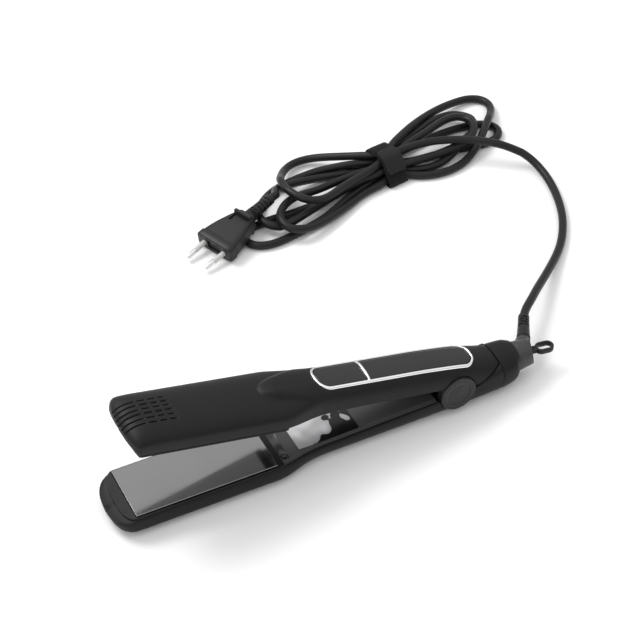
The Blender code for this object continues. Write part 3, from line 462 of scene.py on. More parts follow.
def box(x0, x1, y0, y1, z0, z1):
    v = [(x0, y0, z0), (x1, y0, z0), (x1, y1, z0), (x0, y1, z0),
         (x0, y0, z1), (x1, y0, z1), (x1, y1, z1), (x0, y1, z1)]
    f = [(0, 3, 2, 1), (4, 5, 6, 7), (0, 1, 5, 4), (1, 2, 6, 5), (2, 3, 7, 6), (3, 0, 4, 7)]
    return v, f


def frame_of(axis):
    axis = np.array(axis, float) / np.linalg.norm(axis)
    ref = np.array([0.0, 0.0, 1.0]) if abs(axis[2]) < 0.9 else np.array([1.0, 0.0, 0.0])
    side = np.cross(ref, axis)
    side /= np.linalg.norm(side)
    return axis, side, np.cross(axis, side)


def circle(count, r=1.0):
    """Points round a circle, as (r cos, r sin)."""
    turns = [2 * math.pi * k / count for k in range(count)]
    return [(r * math.cos(a), r * math.sin(a)) for a in turns]


def turned_rings(start, axis, profile, count):
    """Rings round an axis, for a profile of (distance along it, radius)."""
    axis, side, up = frame_of(axis)
    return [[tuple(np.array(start) + axis * t + side * c + up * s) for c, s in circle(count, r)]
            for t, r in profile]


def revolve(start, axis, profile, count=48):
    return loft(turned_rings(start, axis, profile, count))


def round_rings(put, x, y, profile, count=40):
    """Rings about a line across an arm, for a profile of (depth, radius)."""
    return [[put(x + c, y + s, d) for c, s in circle(count, r)] for d, r in profile]


def smoothstep(a, b, x):
    t = min(1.0, max(0.0, (x - a) / (b - a)))
    return t * t * (3.0 - 2.0 * t)


def table(rows, x):
    """Smooth monotone curve through a table's rows."""
    xs = [r[0] for r in rows]
    if x <= xs[0]:
        return rows[0][1:]
    if x >= xs[-1]:
        return rows[-1][1:]
    i = max(k for k in range(len(xs) - 1) if xs[k] <= x)
    h = xs[i + 1] - xs[i]
    t = (x - xs[i]) / h
    out = []
    for c in range(1, len(rows[0])):
        def slope(k):
            if k <= 0 or k >= len(xs) - 1:
                return 0.0
            a = (rows[k][c] - rows[k - 1][c]) / (xs[k] - xs[k - 1])
            b = (rows[k + 1][c] - rows[k][c]) / (xs[k + 1] - xs[k])
            return 0.0 if a * b <= 0.0 else 2.0 * a * b / (a + b)
        y0, y1 = rows[i][c], rows[i + 1][c]
        m0, m1 = slope(i) * h, slope(i + 1) * h
        out.append(y0 * (2 * t ** 3 - 3 * t ** 2 + 1) + m0 * (t ** 3 - 2 * t ** 2 + t)
                   + y1 * (3 * t ** 2 - 2 * t ** 3) + m1 * (t ** 3 - t ** 2))
    return tuple(out)


# ---------------------------------------------------------------- the lead: its route, its hank and its rest

HANK_A = np.array([-19.0, 212.0, 0.0])
ALONG = np.array([0.9874, 0.1578, 0.0])
ASIDE = np.array([-0.1578, 0.9874, 0.0])
TIE_S = 96.0
PLUG_BASE = np.array([-76.5, 198.5, 7.0])
PLUG_AZ = math.radians(21.7)
PLUG_TILT = math.radians(8.6)
PLUG_BACK = np.array([math.cos(PLUG_AZ) * math.cos(PLUG_TILT), math.sin(PLUG_AZ) * math.cos(PLUG_TILT),
                      math.sin(PLUG_TILT)])
PLUG_SIDE = np.array([-math.sin(PLUG_AZ), math.cos(PLUG_AZ), 0.0])
PLUG_UP = np.cross(PLUG_BACK, PLUG_SIDE)
PLUG_RELIEF_TIP = PLUG_BASE + PLUG_BACK * 59.9
RELIEF_TIP = ELBOW + RELIEF_DIR * (RELIEF_START + RELIEF_LEN)

# out of the relief and along the table up to the hank, the same points as the CAD tube
LEAD = [(87.3, 40.5, 15.2), (95.0, 47.6, 14.0), (102.8, 54.6, 12.3), (116.8, 66.8, 8.9), (130.5, 79.2, 5.6),
        (141.8, 89.9, 3.8), (151.9, 101.2, 3.1), (160.1, 113.0, 3.0), (166.5, 124.3, 3.0),
        (171.6, 136.5, 3.0), (176.0, 150.0, 3.0), (178.8, 164.7, 3.6), (178.6, 177.0, 5.5),
        (175.3, 186.8, 9.0), (169.3, 193.6, 13.0), (161.4, 199.4, 17.0), (154.3, 204.0, 19.5)]
PINNED_AT = np.array([169.3, 193.6, 13.0])
# from here on: along the hank, across it, height
INTO_HANK = [(158.9, -23.7, 20.5), (149, -15.5, 20), (137, -8, 19.5), (124.8, -3, 18.2), (111.6, 0, 16.5)]
# places of the nine strands inside the strap, in the lead's order: across, height
SLOTS = [(-1.0, 15.4), (5.6, 15.4), (-9.9, 4.6), (0.0, 10.0), (-6.6, 10.0), (6.6, 10.0), (-3.3, 4.6),
         (3.3, 4.6), (9.9, 4.6)]
# the loops between one pass through the strap and the next, plug end and iron end by turns
LOOPS = [
    [(82, -5.4, 15.5), (64.2, -7.5, 16), (47.3, -10.3, 17), (31.9, -13.7, 18), (21.8, -11.9, 19),
     (14.4, -4.2, 20), (11.7, 7.9, 20), (14.6, 20.3, 17), (26.6, 35.3, 11), (40.6, 43.5, 8), (53, 42.5, 8),
     (63.6, 35, 10), (75.3, 22.5, 13), (85, 12.5, 15)],
    [(107, 10, 16.5), (118, 15, 16), (135.9, 22.8, 15), (157.7, 30.1, 13), (178, 33.8, 11), (196.6, 34, 8.5),
     (207.5, 30, 7), (211, 21.5, 6), (204.5, 9.5, 7), (192, -1.9, 9), (179.1, -12.1, 9), (165, -21, 6),
     (149.5, -26.5, 3.2), (134.3, -28, 3.2), (117, -23, 3.2), (105, -14, 4)],
    [(85, -13, 6), (66.9, -13, 7), (52, -16.5, 8), (36.1, -21.3, 10), (16.8, -25.6, 12), (3.4, -26, 14),
     (-4.6, -22.2, 15), (-6.9, -13.5, 15), (-1.9, -4.2, 15), (6.9, 2.3, 15), (19.3, 5.6, 14.5),
     (35.1, 5.5, 12), (56, 5, 10.5), (77, 2, 10)],
    [(108, 3, 12), (120.1, 6, 15), (135.3, 8, 15.5), (153.6, 12, 15), (167, 13, 14), (176, 9, 13),
     (177.5, 1, 12), (172, -8, 11.5), (160, -14, 11), (145.8, -14, 10.5), (130, -12.5, 10), (112, -9, 10)],
    [(80, -5.5, 9.5), (66, -4, 8.5), (50, -4, 8), (33, -6, 8), (14, -10, 9), (1.4, -12, 9.3),
     (-9.7, -10.5, 9.3), (-15, -3, 9), (-14, 5, 7), (-8, 15, 4.5), (1.4, 22, 3.4), (11.7, 27, 3.2),
     (23.1, 29, 3.2), (35, 29.5, 3.2), (46.4, 28.6, 4), (56.6, 25.3, 5.5), (70.9, 17.4, 8), (82, 11, 9.5)],
    [(106, 10.5, 10), (117.7, 14.5, 9.5), (142.6, 20.7, 8.8), (158.6, 24, 8.5), (170, 23, 8.5),
     (179, 17, 8.8), (182, 6, 8.8), (176, -5, 8), (162, -10, 6), (145, -17, 4), (130, -19, 3.4),
     (115, -14.5, 3.4), (106.5, -8.5, 4)],
    [(84.8, -5, 4), (68.7, -8, 3.2), (45, -15, 3.2), (24.9, -20.5, 3.2), (0.9, -22.5, 3.2),
     (-14, -22.5, 3.2), (-26, -19.5, 3.2), (-33.5, -11.5, 3.2), (-30.5, -2.5, 3.2), (-20, 1.6, 3.2),
     (-7.8, 1.2, 3.2), (11.5, -2.4, 3.2), (25, -4, 3.2), (37, -4, 3.2), (55, -2, 3.2), (70, 0, 3.4),
     (84, 2.5, 4)],
    [(108, 0, 4), (120.6, -5, 3.5), (142.5, -10.5, 3.2), (165.5, -17, 3.2), (181, -20, 3.2),
     (192.5, -16, 3.2), (196, -6.5, 3.2), (188.5, 2.6, 3.2), (173, 8.4, 3.2), (155, 11.2, 3.2),
     (142.5, 12, 3.5), (125, 12, 4), (110, 11, 4.2)],
]
OUT_TO_PLUG = [(82, 11.5, 4.6), (70, 15, 5), (56, 19, 6.5), (42, 21.5, 9), (30, 22.3, 11.5), (18, 21, 14),
               (8, 17.5, 16.2)]
STEP = 3.0


def hank_point(s, t, z):
    return HANK_A + ALONG * s + ASIDE * t + np.array([0.0, 0.0, z])


def smooth_path(points, step):
    """Evenly spaced points on a smooth curve through given ones."""
    p = np.array(points, float)
    p = np.vstack([2 * p[0] - p[1], p, 2 * p[-1] - p[-2]])
    fine = []
    for i in range(1, len(p) - 2):
        t = np.linspace(0.0, 1.0, 24, endpoint=False)[:, None]
        a, b, c, d = p[i - 1], p[i], p[i + 1], p[i + 2]
        fine.append(0.5 * (2 * b + (c - a) * t + (2 * a - 5 * b + 4 * c - d) * t ** 2
                           + (3 * b - a - 3 * c + d) * t ** 3))
    fine = np.vstack(fine + [p[-2][None]])
    gap = np.linalg.norm(np.diff(fine, axis=0), axis=1)
    at = np.concatenate([[0.0], np.cumsum(gap)])
    want = np.linspace(0.0, at[-1], int(round(at[-1] / step)) + 1)
    return np.stack([np.interp(want, at, fine[:, k]) for k in range(3)], axis=1)


def route_points():
    pts = [RELIEF_TIP + RELIEF_DIR * k for k in (-2.9, 1.2, 4.5)]
    pts += [np.array(p, float) for p in LEAD]
    pts += [hank_point(*p) for p in INTO_HANK]
    for k, (t, z) in enumerate(SLOTS):
        pts.append(hank_point(TIE_S, t, z))
        if k < len(LOOPS):
            pts += [hank_point(*p) for p in LOOPS[k]]
    pts += [hank_point(*p) for p in OUT_TO_PLUG]
    pts += [PLUG_RELIEF_TIP + PLUG_BACK * k for k in (8.0, 0.0, -4.0)]
    return pts


def near_pairs(x, reach, skip):
    d2 = ((x[:, None, :] - x[None, :, :]) ** 2).sum(2)
    return np.where(np.triu(d2 < reach * reach, skip))


def even_out(x, rounds, weight):
    """Takes the kinks out of a line without shortening its bends."""
    for _ in range(rounds):
        for k in (0.5, -0.515):
            lap = np.zeros_like(x)
            lap[1:-1] = 0.5 * (x[:-2] + x[2:]) - x[1:-1]
            x = x + k * lap * weight[:, None]
    return x


def push_apart(x, w, i, j, least):
    """One round of contacts between strands, and with the table."""
    dv = x[j] - x[i]
    dist = np.linalg.norm(dv, axis=1) + 1e-9
    hit = dist < least
    if hit.any():
        a, b = i[hit], j[hit]
        share = np.maximum(w[a] + w[b], 1e-9)
        move = (dv[hit] / dist[hit][:, None]) * (least - dist[hit])[:, None]
        total, count = np.zeros_like(x), np.zeros(len(x))
        np.add.at(total, a, -move * (w[a] / share)[:, None])
        np.add.at(total, b, move * (w[b] / share)[:, None])
        np.add.at(count, a, 1)
        np.add.at(count, b, 1)
        x = x + total / np.maximum(count, 1)[:, None] * 1.3
    x[:, 2] = np.maximum(x[:, 2], CORD_R + 0.02)
    return x


def strap_groups(x, first):
    """Which slot of the strap each point near it belongs to, or -1."""
    inside = np.abs((x - HANK_A) @ ALONG - TIE_S) < 8.0
    inside &= np.arange(len(x)) > first
    run = np.flatnonzero(inside)
    slot_of = np.full(len(x), -1)
    for k, g in enumerate(np.split(run, np.flatnonzero(np.diff(run) > 3) + 1)):
        slot_of[max(0, g[0] - 3):g[-1] + 4] = k
    return slot_of


def settle(x, rounds, first, last):
    """Lets the strands rest on each other, the table and the strap; ends stay where they are held."""
    n = len(x)
    w = np.ones(n)
    w[:first] = 0.0
    w[n - last:] = 0.0
    wide = np.ones(n)
    wide[:2] = 0.0
    wide[n - last:] = 0.0
    x = even_out(x, 60, wide)
    home = x.copy()
    slot_of = strap_groups(x, first)
    slot_t = np.array([q[0] for q in SLOTS])
    slot_z = np.array([q[1] for q in SLOTS])
    least = 2 * CORD_R + 0.1
    for turn in range(rounds):
        if turn % 8 == 0:
            i, j = near_pairs(x, 2 * CORD_R + 4.0, 5)
        x[:, 2] -= 0.06 * w
        u = x - home
        for span, k in ((1, 0.5), (2, 0.35), (5, 0.25)):
            lap = np.zeros_like(u)
            lap[span:-span] = 0.5 * (u[:-2 * span] + u[2 * span:]) - u[span:-span]
            u = u + k * lap * w[:, None]
        u[:, :2] *= 0.995
        x = home + u
        off = x - HANK_A
        held = (slot_of >= 0) & (np.abs(off @ ALONG - TIE_S) < 8.5)
        x = x + ASIDE * ((slot_t[slot_of] - off @ ASIDE) * held * 0.3)[:, None]
        x[:, 2] += (slot_z[slot_of] - x[:, 2]) * held * 0.3
        for _ in range(3):
            x = push_apart(x, w, i, j, least)
    x = even_out(x, 6, w)
    i, j = near_pairs(x, 2 * CORD_R + 1.0, 5)
    for _ in range(6):
        x = push_apart(x, w, i, j, 2 * CORD_R - 0.05)
    return even_out(x, 1, w)


def tube(points, radius, sides):
    """Round tube along points, its rings turned as little as possible."""
    p = np.array(points)
    tan = np.gradient(p, axis=0)
    tan /= np.linalg.norm(tan, axis=1)[:, None]
    side = np.cross(tan[0], [0.0, 0.0, 1.0])
    side /= np.linalg.norm(side)
    rings = []
    for k in range(len(p)):
        side = side - tan[k] * float(side @ tan[k])
        side /= np.linalg.norm(side)
        up = np.cross(tan[k], side)
        rings.append([tuple(p[k] + radius * (side * c + up * s)) for c, s in circle(sides)])
    return loft(rings)


def make_cord():
    x = smooth_path(route_points(), STEP)
    first = int(np.flatnonzero(np.linalg.norm(x - PINNED_AT, axis=1) < 2.5)[0])
    x = settle(x, 500, first, 4)
    keep = [k for k in range(len(x)) if (x[k] - RELIEF_TIP) @ RELIEF_DIR > -1.2 or k > 10]
    line = x[keep]
    line[0] = RELIEF_TIP - RELIEF_DIR * 0.6
    obj = new_piece("mains_cord", *tube(line, CORD_R, 14), M["cord"], sharp=70.0, weld=False)
    return obj, line


def hull(points):
    """Corners of the convex outline of points, anticlockwise."""
    pts = sorted(set((round(a, 4), round(b, 4)) for a, b in points))

    def half(seq):
        out = []
        for p in seq:
            while len(out) > 1 and ((out[-1][0] - out[-2][0]) * (p[1] - out[-2][1])
                                    - (out[-1][1] - out[-2][1]) * (p[0] - out[-2][0])) <= 0:
                out.pop()
            out.append(p)
        return out[:-1]
    return half(pts) + half(list(reversed(pts)))


def even_loop(points, count, rounds=6):
    """Closed outline at equal steps, gently smoothed."""
    p = np.array(points + points[:1], float)
    gap = np.linalg.norm(np.diff(p, axis=0), axis=1)
    at = np.concatenate([[0.0], np.cumsum(gap)])
    want = np.linspace(0.0, at[-1], count, endpoint=False)
    q = np.stack([np.interp(want, at, p[:, k]) for k in range(2)], axis=1)
    for _ in range(rounds):
        q = 0.5 * q + 0.25 * (np.roll(q, 1, 0) + np.roll(q, -1, 0))
    return q


def loop_normals(q):
    d = np.roll(q, -1, 0) - np.roll(q, 1, 0)
    n = np.stack([d[:, 1], -d[:, 0]], axis=1)
    return n / np.linalg.norm(n, axis=1)[:, None]


def fuzz(k, m, amount):
    """Small repeatable unevenness."""
    return amount * (math.sin(12.9898 * k + 78.233 * m) * math.sin(4.1414 * k - 1.7 * m)
                     + 0.5 * math.sin(37.7 * k + 11.3 * m))


def strap_outline(line):
    off = line - HANK_A
    s, t = off @ ALONG, off @ ASIDE
    ring = []
    for k in np.flatnonzero(np.abs(s - TIE_S) < 10.5):
        if t[k] < -18 or t[k] > 18:
            continue
        ring += [(t[k] + c, max(0.5, line[k][2] + r)) for c, r in circle(20, CORD_R + 0.25)]
    return even_loop(hull(ring), 120)


def make_tie(line):
    """Hook-and-loop strap round the nine strands, with its end lapped over the top."""
    inner = strap_outline(line)
    norm = loop_normals(inner)

    def at(k, s, lift):
        q = inner[k % len(inner)] + norm[k % len(inner)] * lift
        return tuple(hank_point(TIE_S + s, q[0], max(0.25, q[1])))

    profile = [(-8.0, 0.1), (8.0, 0.1), (8.3, 0.5), (8.3, 1.2), (7.9, 1.6), (5.0, 1.75), (2.0, 1.8),
               (-1.0, 1.8), (-4.0, 1.75), (-7.9, 1.6), (-8.3, 1.2), (-8.3, 0.5)]
    rings = []
    for k in range(len(inner)):
        wob = 0.35 * math.sin(2 * math.pi * k / len(inner) * 3.0)
        rings.append([at(k, s + wob, h + (fuzz(k, m, 0.10) if h > 1.0 else 0.0))
                      for m, (s, h) in enumerate(profile)])
    band = new_piece("tie_band", *ring_loft(rings), M["felt"], 60.0)
    # the lapped end: over the top and down the far side
    start, stop = lap_range(inner)
    rings = []
    lift, shift = 1.85, 0.9
    for k in range(start, stop + 1):
        f = (k - start) / (stop - start)
        half = 8.0 - 1.2 * smoothstep(0.85, 1.0, f) - 1.2 * smoothstep(0.15, 0.0, f)
        row = [(-half + shift, lift), (half + shift, lift), (half + shift, lift + 0.9),
               (half * 0.5 + shift, lift + 1.15), (shift, lift + 1.2), (-half * 0.5 + shift, lift + 1.15),
               (-half + shift, lift + 0.9)]
        rings.append([at(k, s, h + (fuzz(k, m, 0.05) if h > lift + 0.5 else 0.0))
                      for m, (s, h) in enumerate(row)])
    lap = new_piece("tie_lap", *loft(rings), M["strap"], 50.0)
    return [band, lap]


def lap_range(inner):
    """First and last outline step of the lapped end, found from the outline's own shape."""
    ang = np.degrees(np.arctan2(inner[:, 1] - inner[:, 1].mean(), inner[:, 0] - inner[:, 0].mean()))
    start = int(np.argmin(np.abs(ang - 75.0)))
    stop = int(np.argmin(np.abs(ang - 176.0)))
    if stop < start:
        stop += len(inner)
    return start, stop


def brick_relief(name, root, axis, length, r0, r1, mat, first, rings_of_grooves, smooth_root):
    """Strain relief: tapering rubber with ring grooves that bridges interrupt in turn."""
    axis, side, up = frame_of(axis)
    count = 64
    pitch = (length - 1.6 - first) / rings_of_grooves
    stations = [0.0, 0.5, 1.4, 1.8, 2.6, 3.0, 3.8, 4.2]
    stations += list(np.linspace(4.8, first - 0.4, 6))
    for k in range(rings_of_grooves):
        t0 = first + k * pitch
        stations += [t0, t0 + 0.12, t0 + 0.12 + pitch * 0.36, t0 + 0.24 + pitch * 0.36, t0 + pitch * 0.72]
    stations += [length - 1.0, length - 0.4, length]
    out = []
    for t in stations:
        base = r0 + (r1 - r0) * smoothstep(-length * 0.4, length, t)
        if smooth_root and t < 0.3:
            base -= 0.3
        if smooth_root and 1.6 <= t <= 2.7:
            base -= 0.35
        if smooth_root and 2.9 <= t <= 3.9:
            base += 0.1
        if t > length - 0.2:
            base -= 0.5
        row = (t - first) / pitch
        ring = []
        for k in range(count):
            r = base
            a = 2 * math.pi * k / count
            if 0.0 <= row < rings_of_grooves:
                part = (row - math.floor(row)) * pitch
                if 0.1 < part < 0.2 + pitch * 0.36:
                    turn = (a / (math.pi / 2) + 0.5 * (int(row) % 2)) % 1.0
                    if turn > 0.17:
                        r -= 0.75
            ring.append(tuple(np.array(root) + axis * t + side * (r * math.cos(a)) + up * (r * math.sin(a))))
        out.append(ring)
    return new_piece(name, *loft(out), mat, 40.0)


# ---------------------------------------------------------------- casings

# rows: x, half width, rim half width, rim depth, depth of the widest line, full depth
# depths are measured from the plate's face
LOWER_ROWS = [
    (-225.0, 23.2, 22.1, 2.6, 9.0, 17.5), (-131.0, 23.2, 22.1, 2.6, 9.0, 17.5),
    (-126.0, 22.7, 21.6, 2.9, 8.8, 17.5), (-120.0, 21.3, 20.2, 3.3, 8.2, 17.5),
    (-114.0, 19.5, 18.4, 3.8, 7.2, 17.5), (-108.0, 17.9, 16.8, 4.2, 6.5, 17.5),
    (-101.0, 16.7, 15.6, 4.4, 6.0, 17.5), (-92.0, 16.3, 15.3, 4.3, 5.6, 17.5),
    (-60.0, 16.3, 15.3, 3.3, 5.0, 17.5), (-30.0, 16.3, 15.5, 2.4, 4.6, 17.5),
    (-14.0, 16.3, 15.8, 1.7, 4.2, 17.5), (0.0, 16.2, 16.1, 0.3, 3.8, 17.4),
    (14.0, 16.0, 15.9, -0.2, 3.3, 17.3)]
LOWER_REAR = [(20.5, 15.8, -2.2, 3.3, 17.2), (24.5, 15.7, -3.6, 3.3, 17.1), (28.0, 15.6, -4.9, 3.3, 17.0)]
LOWER_END = (31.0, 15.6, -7.4, 3.3, 16.9)
UPPER_ROWS = [
    (-225.0, 23.2, 22.1, 2.6, 9.0, 17.5), (-131.0, 23.2, 22.1, 2.6, 9.0, 17.5),
    (-126.0, 22.7, 21.4, 2.5, 9.0, 17.6), (-120.0, 21.3, 19.8, 2.1, 9.0, 18.1),
    (-114.0, 19.5, 17.9, 1.7, 9.0, 19.0), (-108.0, 17.9, 16.2, 1.6, 8.7, 20.0),
    (-101.0, 16.7, 15.0, 1.9, 8.4, 20.7), (-92.0, 16.3, 14.6, 2.6, 8.2, 20.9),
    (-60.0, 16.3, 14.6, 3.7, 8.0, 21.0), (-30.0, 16.3, 14.9, 4.4, 7.4, 21.2),
    (-14.0, 16.2, 15.4, 5.0, 6.6, 20.9), (0.0, 16.1, 15.9, 4.8, 5.4, 20.4)]
UPPER_REAR = [(13.0, 15.9, 4.4, 3.2, 19.2), (20.0, 15.7, 7.6, 1.8, 18.2), (25.0, 15.6, 10.8, 1.2, 17.6)]
UPPER_END = (29.0, 15.5, 14.4, 0.8, 17.1)
REAR_UP = 14.0
NOSE_X = -225.0
NOSE_POWER = 2.6
# how far the outline, the inner wall and the plate carrier reach past NOSE_X, and the slope of the lips, and
# how far behind NOSE_X the back starts to fall
LOWER_NOSE = (14.0, 7.2, 8.8, 0.45, 3.0)
UPPER_NOSE = (8.4, 4.4, 5.6, 0.8, 8.0)
LIP_X = -226.9
NOTCH_R = 13.0
RIM_POINTS = 5
ARC_POINTS = 40


def nose_factor(t):
    """Share of the full width left at t, 0 where the nose starts and 1 at its tip."""
    return max(0.0, 1.0 - min(1.0, max(0.0, t)) ** NOSE_POWER) ** (1.0 / NOSE_POWER)


def lip_drop(x, slope):
    """How far the nose's inner face has fallen away from the plate at x."""
    return slope * max(0.0, LIP_X - x)


def half_profile(w, wr, dr, dc, db, wall):
    """Half section as (half width, depth) from the rim to the middle of the back."""
    w, wr, db = w - wall, wr - wall, db - wall
    out = []
    if dr < dc:
        for k in range(RIM_POINTS):
            t = k / RIM_POINTS
            out.append((wr + (w - wr) * math.sqrt(1.0 - (1.0 - t) ** 2), dr + (dc - dr) * t))
        start, steps = 0.0, ARC_POINTS
    else:
        start = math.asin(min(1.0, ((dr - dc) / (db - dc)) ** (POWER / 2.0)))
        steps = ARC_POINTS + RIM_POINTS
    for k in range(steps + 1):
        a = start + (math.pi / 2 - start) * k / steps
        out.append((w * math.cos(a) ** (2.0 / POWER) if k < steps else 0.0,
                    dc + (db - dc) * math.sin(a) ** (2.0 / POWER)))
    return out


def rear_row(x, w, dr, dc, db, up):
    wr = w * max(0.0, 1.0 - (abs(dc - dr) / up) ** POWER) ** (1.0 / POWER)
    return (x, w, wr, dr, dc, db)


def crown(x, nose):
    """Share of the back's height left at x: the back falls towards the tip before the outline narrows."""
    start = NOSE_X + nose[4]
    t = min(1.0, max(0.0, (start - x) / (start - NOSE_X + nose[0])))
    return max(0.0, 1.0 - t ** 2.1) ** 0.5


def casing_rows(rows, rear, up, nose, reach):
    """Rows from the nose to the rear, close together, with the nose rounded off."""
    full = list(rows) + [rear_row(*r, up if up else r[4] - r[3]) for r in rear]
    ts = [math.sin(math.pi / 2 * k / 26) ** 0.8 for k in range(26, 0, -1)]
    ts[0] = 0.9992
    xs = [NOSE_X - nose[0] * t for t in ts] + list(np.arange(NOSE_X, -201.0, 1.5))
    xs += list(np.arange(-201.0, -145.0, 4.0))
    xs += list(np.arange(-145.0, -92.0, 0.75)) + list(np.arange(-92.0, rear[-1][0], 2.0)) + [rear[-1][0]]
    out = []
    for k, x in enumerate(xs):
        w, wr, dr, dc, db = table(full, x)
        f = nose_factor(ts[k]) if k < len(ts) else 1.0
        at = NOSE_X - reach * ts[k] if k < len(ts) else x
        out.append((at, w * f, wr * f, dr + lip_drop(at, nose[3]), dc, dc + (db - dc) * crown(x, nose)))
    return out


def casing_sets(rows, rear, end, up, radius, axis_d, lift, nose):
    """Outer and inner rings of a casing, the rim and the rear edge lightly rounded."""
    sets = []
    for wall in (0.0, WALL):
        rings = []
        for x, w, wr, dr, dc, db in casing_rows(rows, rear, up, nose, nose[1] if wall else nose[0]):
            w, wr, db = max(w, 1.2 + wall), max(wr, 1.0 + wall), max(db, dc + 2.0 + wall)
            half = half_profile(w, wr, dr, dc, db, wall)
            rings.append([(x, -y, d) for y, d in half] + [(x, y, d) for y, d in reversed(half[:-1])])
        x, w, wr, dr, dc, db = rear_row(*end, up if up else end[4] - end[3])
        half = half_profile(w, wr, dr, dc, db, wall)
        loop = [(-y, d) for y, d in half] + [(y, d) for y, d in reversed(half[:-1])]
        for back in (0.5, 0.0):
            r = radius - back
            rings.append([(math.sqrt(max(1.0, r * r - (axis_d - d) ** 2)), y, d) for y, d in loop])
        sets.append(rings)
    if lift:
        for wall, rings in zip((0.0, WALL), sets):
            for ring in rings:
                top = max(d for x, y, d in ring)
                for k, (x, y, d) in enumerate(ring):
                    if d > top - 4.0:
                        ring[k] = (x, y, d + lift(x, y, top + wall))
    outer, inner = sets
    for rings, other in ((outer, inner), (inner, outer)):
        mates = [list(r) for r in other]
        for k, ring in enumerate(rings):
            for end_at, nxt in ((0, 1), (-1, -2)):
                a, b, c = np.array(ring[end_at]), np.array(ring[nxt]), np.array(mates[k][end_at])
                tip = a + (c - a) * 0.28
                side = a + (b - a) * min(1.0, 0.4 / max(0.05, float(np.linalg.norm(b - a))))
                if end_at == 0:
                    ring[0:1] = [tuple(tip), tuple(side)]
                else:
                    ring[-1:] = [tuple(side), tuple(tip)]
    return outer, inner


def open_shell(outer, inner):
    """Trough-shaped body between an outer and an inner set of rings."""
    n, rows = len(outer[0]), len(outer)
    verts = [p for ring in outer for p in ring] + [p for ring in inner for p in ring]
    off = rows * n
    faces = []
    for i in range(rows - 1):
        for k in range(n - 1):
            a, b = i * n + k, (i + 1) * n + k
            faces.append((a, a + 1, b + 1, b))
            faces.append((off + a, off + b, off + b + 1, off + a + 1))
        for k in (0, n - 1):
            a, b = i * n + k, (i + 1) * n + k
            faces.append((a, b, off + b, off + a) if k == 0 else (b, a, off + a, off + b))
    faces.append(tuple(range(n)))
    faces.append(tuple(off + k for k in reversed(range(n))))
    faces.append((0, off, off + n - 1, n - 1))
    last = (rows - 1) * n
    for k in range(n - 1):
        faces.append((last + k, last + k + 1, off + last + k + 1, off + last + k))
    return verts, faces


def placed(verts, put):
    return [put(*v) for v in verts]


def notch(put, axis_z, inner_y, sign):
    """Round cutter for the disc's seat in the side of a casing."""
    sides = (sign * inner_y, sign * 20.0)
    return loft([[put(c, y, axis_z + s) for c, s in circle(96, NOTCH_R)] for y in sides])


def make_lower_casing():
    outer, inner = casing_sets(LOWER_ROWS, LOWER_REAR, LOWER_END, REAR_UP, 34.7, PLATE_Z - HINGE_Z, None,
                               LOWER_NOSE)
    verts, faces = open_shell(outer, inner)
    obj = new_piece("lower_casing", placed(verts, low_point), faces, M["soft"], 38.0)
    for sign in (-1.0, 1.0):
        subtract(obj, *notch(lambda x, y, z: (x, y, z), HINGE_Z, 10.7, sign))
    return obj


def thumb_ridge(x, y, base):
    """Height that the thumb ridge adds where the handle runs out onto the head."""
    if x < -141.0 or x > -96.0:
        return 0.0
    half = 1.5 + 11.5 * min(1.0, (x + 141.0) / 20.0) ** 0.5 + max(0.0, x + 121.0) * 0.25
    rise = (20.8 - base) * min(1.0, (x + 141.0) / 9.0) ** 0.6
    return max(0.0, rise) * max(0.0, 1.0 - (abs(y) / half) ** 6)


def stadium(x0, x1, y, half, count=8):
    out = [(x0 + half - half * math.sin(math.pi * k / count), y - half * math.cos(math.pi * k / count))
           for k in range(count + 1)]
    return out + [(x1 - half + half * math.sin(math.pi * k / count), y + half * math.cos(math.pi * k / count))
                  for k in range(count + 1)]


def surface_line(y):
    """The casing's outer surface over the tip at one width, as (x, depth) points from the back to the rim."""
    line = []
    for k in range(70):
        x = -220.3 - 13.05 * (k / 69.0) ** 0.6
        w, dc = 23.2 * nose_factor((NOSE_X - x) / UPPER_NOSE[0]), 9.0
        if abs(y) > w * 0.97:
            break
        line.append((x, dc + 8.5 * crown(x, UPPER_NOSE) * (1.0 - (abs(y) / w) ** POWER) ** (1.0 / POWER)))
    return line


def tip_groove(y):
    """Cutter for a groove that runs from the back over the tip, 0.9 deep."""
    line = np.array(surface_line(y))
    tan = np.gradient(line, axis=0)
    tan /= np.linalg.norm(tan, axis=1)[:, None]
    norm = np.stack([-tan[:, 1], tan[:, 0]], axis=1)
    if norm[0, 1] > 0:
        norm = -norm
    rings = []
    for p, n in zip(line, norm):
        a, b = p + n * 0.85, p - n * 1.2
        rings.append([(a[0], y - 0.5, a[1]), (a[0], y + 0.5, a[1]),
                      (b[0], y + 0.62, b[1]), (b[0], y - 0.62, b[1])])
    verts, faces = loft(rings)
    return placed(verts, up_point), faces


def make_upper_casing():
    outer, inner = casing_sets(UPPER_ROWS, UPPER_REAR, UPPER_END, None, 34.0, EDGE_GAP, thumb_ridge,
                               UPPER_NOSE)
    verts, faces = open_shell(outer, inner)
    obj = new_piece("upper_casing", placed(verts, up_point), faces, M["soft"], 38.0)
    outline = window_outline(BEZEL_X0 - 0.3, BEZEL_X1 + 0.3, BEZEL_HALF + 0.3, BEZEL_CORNER, BEZEL_CORNER)
    subtract(obj, *loft([[arm_point(x, y, v) for x, y in outline] for v in (8.0, 30.0)]))
    rows = [-9.9 + 3.96 * k for k in range(6)]
    slots = []
    for y in rows:
        for x, length in ((-215.5, 5.6), (-208.7, 4.8), (-202.4, 4.2)):
            loop = stadium(x - length / 2, x + length / 2, y, 0.58)
            slots.append(loft([[arm_point(a, b, v) for a, b in loop] for v in (12.5, 20.0)]))
    subtract(obj, *join(slots))
    subtract(obj, *join([tip_groove(y) for y in rows]))
    for sign in (-1.0, 1.0):
        subtract(obj, *notch(arm_point, 0.0, 10.8, sign))
    return obj


